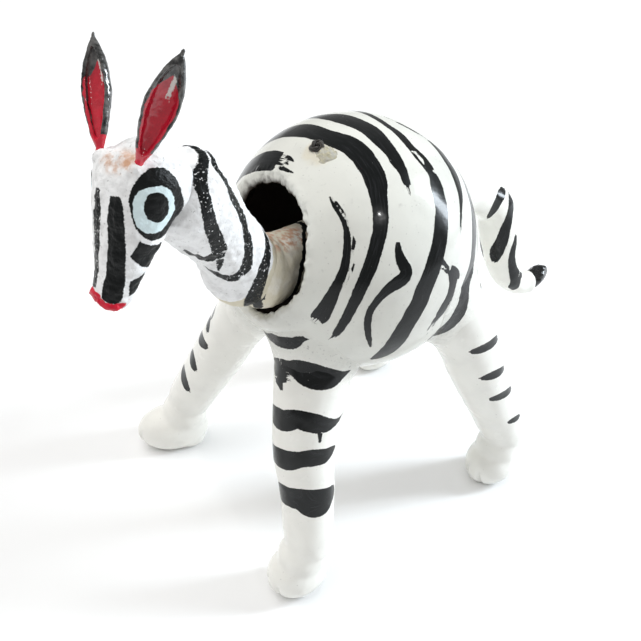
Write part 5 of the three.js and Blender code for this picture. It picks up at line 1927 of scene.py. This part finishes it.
class FIGURINE_OT_ears(bpy.types.Operator):
    """Builds the two cupped ears, black outside and red inside"""

    bl_idname = "figurine.ears"
    bl_label = "Ears"

    def execute(self, context):
        settings = context.scene.figurine
        sizes = Millimetres(settings.ears)
        material = ear_finish(settings.paint)
        for name, side in (("ear_left", LEFT), ("ear_right", RIGHT)):
            bm = self.leaf(sizes)
            coat = self.coat(bm, sizes)
            bm.transform(FIGURINE_OT_head.place(settings) @ self.stand(settings.ears, side))
            finished(bm, f"{name}_painted", "head", [name], material, coat)
        return {"FINISHED"}

    @staticmethod
    def half_width(sizes, along):
        """Half the leaf's width at a distance along it."""
        shares, widths = zip(*EAR_SHAPE)
        return np.interp(along / sizes.length, shares, widths) * sizes.width / 2

    def leaf(self, sizes):
        """Cup along +Z, open towards +Y, with its root below the origin."""
        corners = [(width, share * sizes.length) for share, width in EAR_SHAPE]
        bm = spun(smooth_profile(corners, 0.3), 60)
        bmesh.ops.scale(bm, vec=(sizes.width / 2, sizes.depth / 2, 1), verts=bm.verts)
        cut_off(bm, (0, 0.42 * sizes.depth / 2, 0), (0, 1, 0))
        bmesh.ops.recalc_face_normals(bm, faces=bm.faces)
        bmesh.ops.solidify(bm, geom=bm.faces, thickness=sizes.wall)
        root = spun([(0, -3.4), (0.6, -3.3), (0.7, -2), (0.55, -0.8), (0.3, 0.2), (0, 0.4)], 32)
        tip = ball(0.32, (0, 0, sizes.length - 0.35), (1, 0.8, 2.2))
        bm = moulded(joined(bm, root, tip), 0.13, 4)
        roughened(bm, 0.1, 1.6, 71)
        return bm

    def coat(self, bm, sizes):
        """Red in the cup, black at its rim and tip, a painted highlight streak high in the cup, and pale
        paint at the root.
        """
        coat = Coat(bm)
        points = coat.points
        margin = self.half_width(sizes, points[:, 2]) - 0.42 - np.abs(points[:, 0])
        inside = np.minimum(margin, 0.76 * sizes.length - points[:, 2] - 1.4 * np.abs(points[:, 0]))
        inside = np.where(coat.normals[:, 1] > 0.15, inside, -1)
        root = 0.4 - points[:, 2]
        coat.layer("red")[:] = np.clip(np.maximum(inside, root), -1, 1)
        # A painted highlight: a pale streak high in the cup
        streak = 0.36 - np.abs(points[:, 0] + 0.4)
        high = 0.5 - np.abs(points[:, 2] - 0.66 * sizes.length) / 4
        streaks = np.where(inside > -0.4, np.minimum(streak, high), -1)
        coat.layer("pale")[:] = np.maximum(streaks, -2.2 - points[:, 2])
        return coat

    def stand(self, ears, side):
        """Stands an ear on the head: leaning back and out, its cup turned mostly to the left."""
        facing = Matrix.Rotation(ears.turn + side * ears.turn_out, 4, "Y")
        back = Matrix.Rotation(math.radians(90) - ears.lean_back, 4, "X")
        out = Matrix.Rotation(side * ears.lean_out, 4, "Y")
        upright = Matrix.Rotation(math.pi, 4, Vector((0, 1, 1)))
        spot = Matrix.Translation((side * EAR_PLACE.x, EAR_PLACE.y, EAR_PLACE.z))
        return spot @ out @ back @ facing @ upright


class FIGURINE_OT_inner_parts(bpy.types.Operator):
    """Gives the pegs, the wire, its eye and the counterweight their finishes"""

    bl_idname = "figurine.inner_parts"
    bl_label = "Pegs, wire and weight"

    def execute(self, context):
        paint = context.scene.figurine.paint
        wood = bare_wood_finish(paint)
        steel = steel_finish(paint)
        metal = metal_finish(paint)
        finishes = {"tail_peg": wood, "neck_wire": steel, "thread_eye": steel, "counterweight": metal}
        for leg in LEGS:
            finishes[f"leg_peg_{leg.name}"] = wood
        for name, material in finishes.items():
            materials = frame["nodes"][name].data.materials
            materials.clear()
            materials.append(material)
        return {"FINISHED"}


# What the camera looks at, in millimetres, and what the lights shine at, in metres
CAMERA_TARGET = Vector((-9.045, 3.013, 38.02))
LIGHT_CENTRE = Vector((0, 0, 0.06))
FLOOR_HALF = 6
SKY_STRENGTH = 0.37


class FIGURINE_OT_stage(bpy.types.Operator):
    """Sets the pale floor, the soft light and the camera"""

    bl_idname = "figurine.stage"
    bl_label = "Floor, light and camera"

    def execute(self, context):
        settings = context.scene.figurine.stage
        self.floor(settings)
        self.sky(context, settings)
        lights = [
            ("overhead", (-0.32, -0.3, 1.0), 0.9, (1.1, 1.1), 8.4, (1, 0.995, 0.98), False),
            ("window", (0.37, 0.85, 0.41), 0.7, (0.12, 0.46), 5.2, (0.85, 0.93, 1), True),
            ("lamp", (0.616, -0.006, 0.788), 0.8, (0.022, 0.022), 0.3, (1, 1, 1), True),
        ]
        for name, direction, distance, size, power, colour, mirrored_in_gloss in lights:
            lamp = self.light(name, Vector(direction), distance, size, power, colour)
            lamp.visible_glossy = mirrored_in_gloss
        self.camera(context, settings)
        context.scene.view_settings.view_transform = "Standard"
        return {"FINISHED"}

    def floor(self, settings):
        """Wide pale floor."""
        bm = bmesh.new()
        bmesh.ops.create_grid(bm, x_segments=8, y_segments=8, size=FLOOR_HALF)
        mesh = mesh_of(bm, "floor")
        finish = Finish("pale floor", Roughness=0.8)
        shade = finish.blotches(60, 2, 0.3, 0.7, 0, 0.04)
        finish.surface("Base Color", finish.mix(shade, settings.floor, (0.7, 0.7, 0.7, 1)))
        mesh.materials.append(finish.material)
        floor = linked("floor", mesh)

    def sky(self, context, settings):
        """Soft light from all round."""
        world = bpy.data.worlds.new("soft sky")
        world.use_nodes = True
        background = world.node_tree.nodes["Background"]
        background.inputs["Color"].default_value = settings.sky
        background.inputs["Strength"].default_value = SKY_STRENGTH
        context.scene.world = world

    def light(self, name, direction, distance, size, power, colour):
        """Area light in a direction from the figurine."""
        data = bpy.data.lights.new(name, "AREA")
        data.shape = "RECTANGLE"
        data.size, data.size_y = size
        data.energy = power
        data.color = colour
        lamp = linked(name, data)
        lamp.location = LIGHT_CENTRE + direction.normalized() * distance
        lamp.rotation_euler = direction.to_track_quat("Z", "Y").to_euler()
        return lamp

    def camera(self, context, settings):
        """The photo's camera."""
        a, e, roll = settings.azimuth, settings.elevation, settings.roll
        back = Vector((math.sin(a) * math.cos(e), -math.cos(a) * math.cos(e), math.sin(e)))
        right = Vector((math.cos(a), math.sin(a), 0))
        up = back.cross(right)
        rolled_right = math.cos(roll) * right + math.sin(roll) * up
        rolled_up = -math.sin(roll) * right + math.cos(roll) * up
        data = bpy.data.cameras.new("photo_view")
        data.sensor_width = 36
        data.lens = settings.lens
        data.clip_start = 0.01
        camera = linked("photo_view", data)
        turn = Matrix((rolled_right, rolled_up, back)).transposed().to_4x4()
        target = CAMERA_TARGET * MM
        camera.matrix_world = Matrix.Translation(target + back * settings.distance) @ turn
        context.scene.camera = camera


OPERATORS = (
    FIGURINE_OT_gourd,
    FIGURINE_OT_legs,
    FIGURINE_OT_tail,
    FIGURINE_OT_thread,
    FIGURINE_OT_neck,
    FIGURINE_OT_head,
    FIGURINE_OT_ears,
    FIGURINE_OT_inner_parts,
    FIGURINE_OT_stage,
)


class FIGURINE_PT_pieces(bpy.types.Panel):
    """Lists the pieces of the figurine"""

    bl_idname = "FIGURINE_PT_pieces"
    bl_label = "Gourd zebra figurine"
    bl_space_type = "VIEW_3D"
    bl_region_type = "UI"
    bl_category = "Figurine"

    def draw(self, context):
        column = self.layout.column()
        for operator in OPERATORS:
            column.operator(operator.bl_idname)


CLASSES = (
    BodySettings,
    LegSettings,
    TailSettings,
    NeckSettings,
    HeadSettings,
    EarSettings,
    ThreadSettings,
    PaintSettings,
    StageSettings,
    FigurineSettings,
    *OPERATORS,
    FIGURINE_PT_pieces,
)


def register():
    for each in CLASSES:
        bpy.utils.register_class(each)
    bpy.types.Scene.figurine = PointerProperty(type=FigurineSettings)


def unregister():
    del bpy.types.Scene.figurine
    for each in reversed(CLASSES):
        bpy.utils.unregister_class(each)


def main():
    register()
    bpy.ops.figurine.gourd()
    bpy.ops.figurine.legs()
    bpy.ops.figurine.tail()
    bpy.ops.figurine.thread()
    bpy.ops.figurine.neck()
    bpy.ops.figurine.head()
    bpy.ops.figurine.ears()
    bpy.ops.figurine.inner_parts()
    bpy.ops.figurine.stage()


if __name__ == "__main__":
    main()
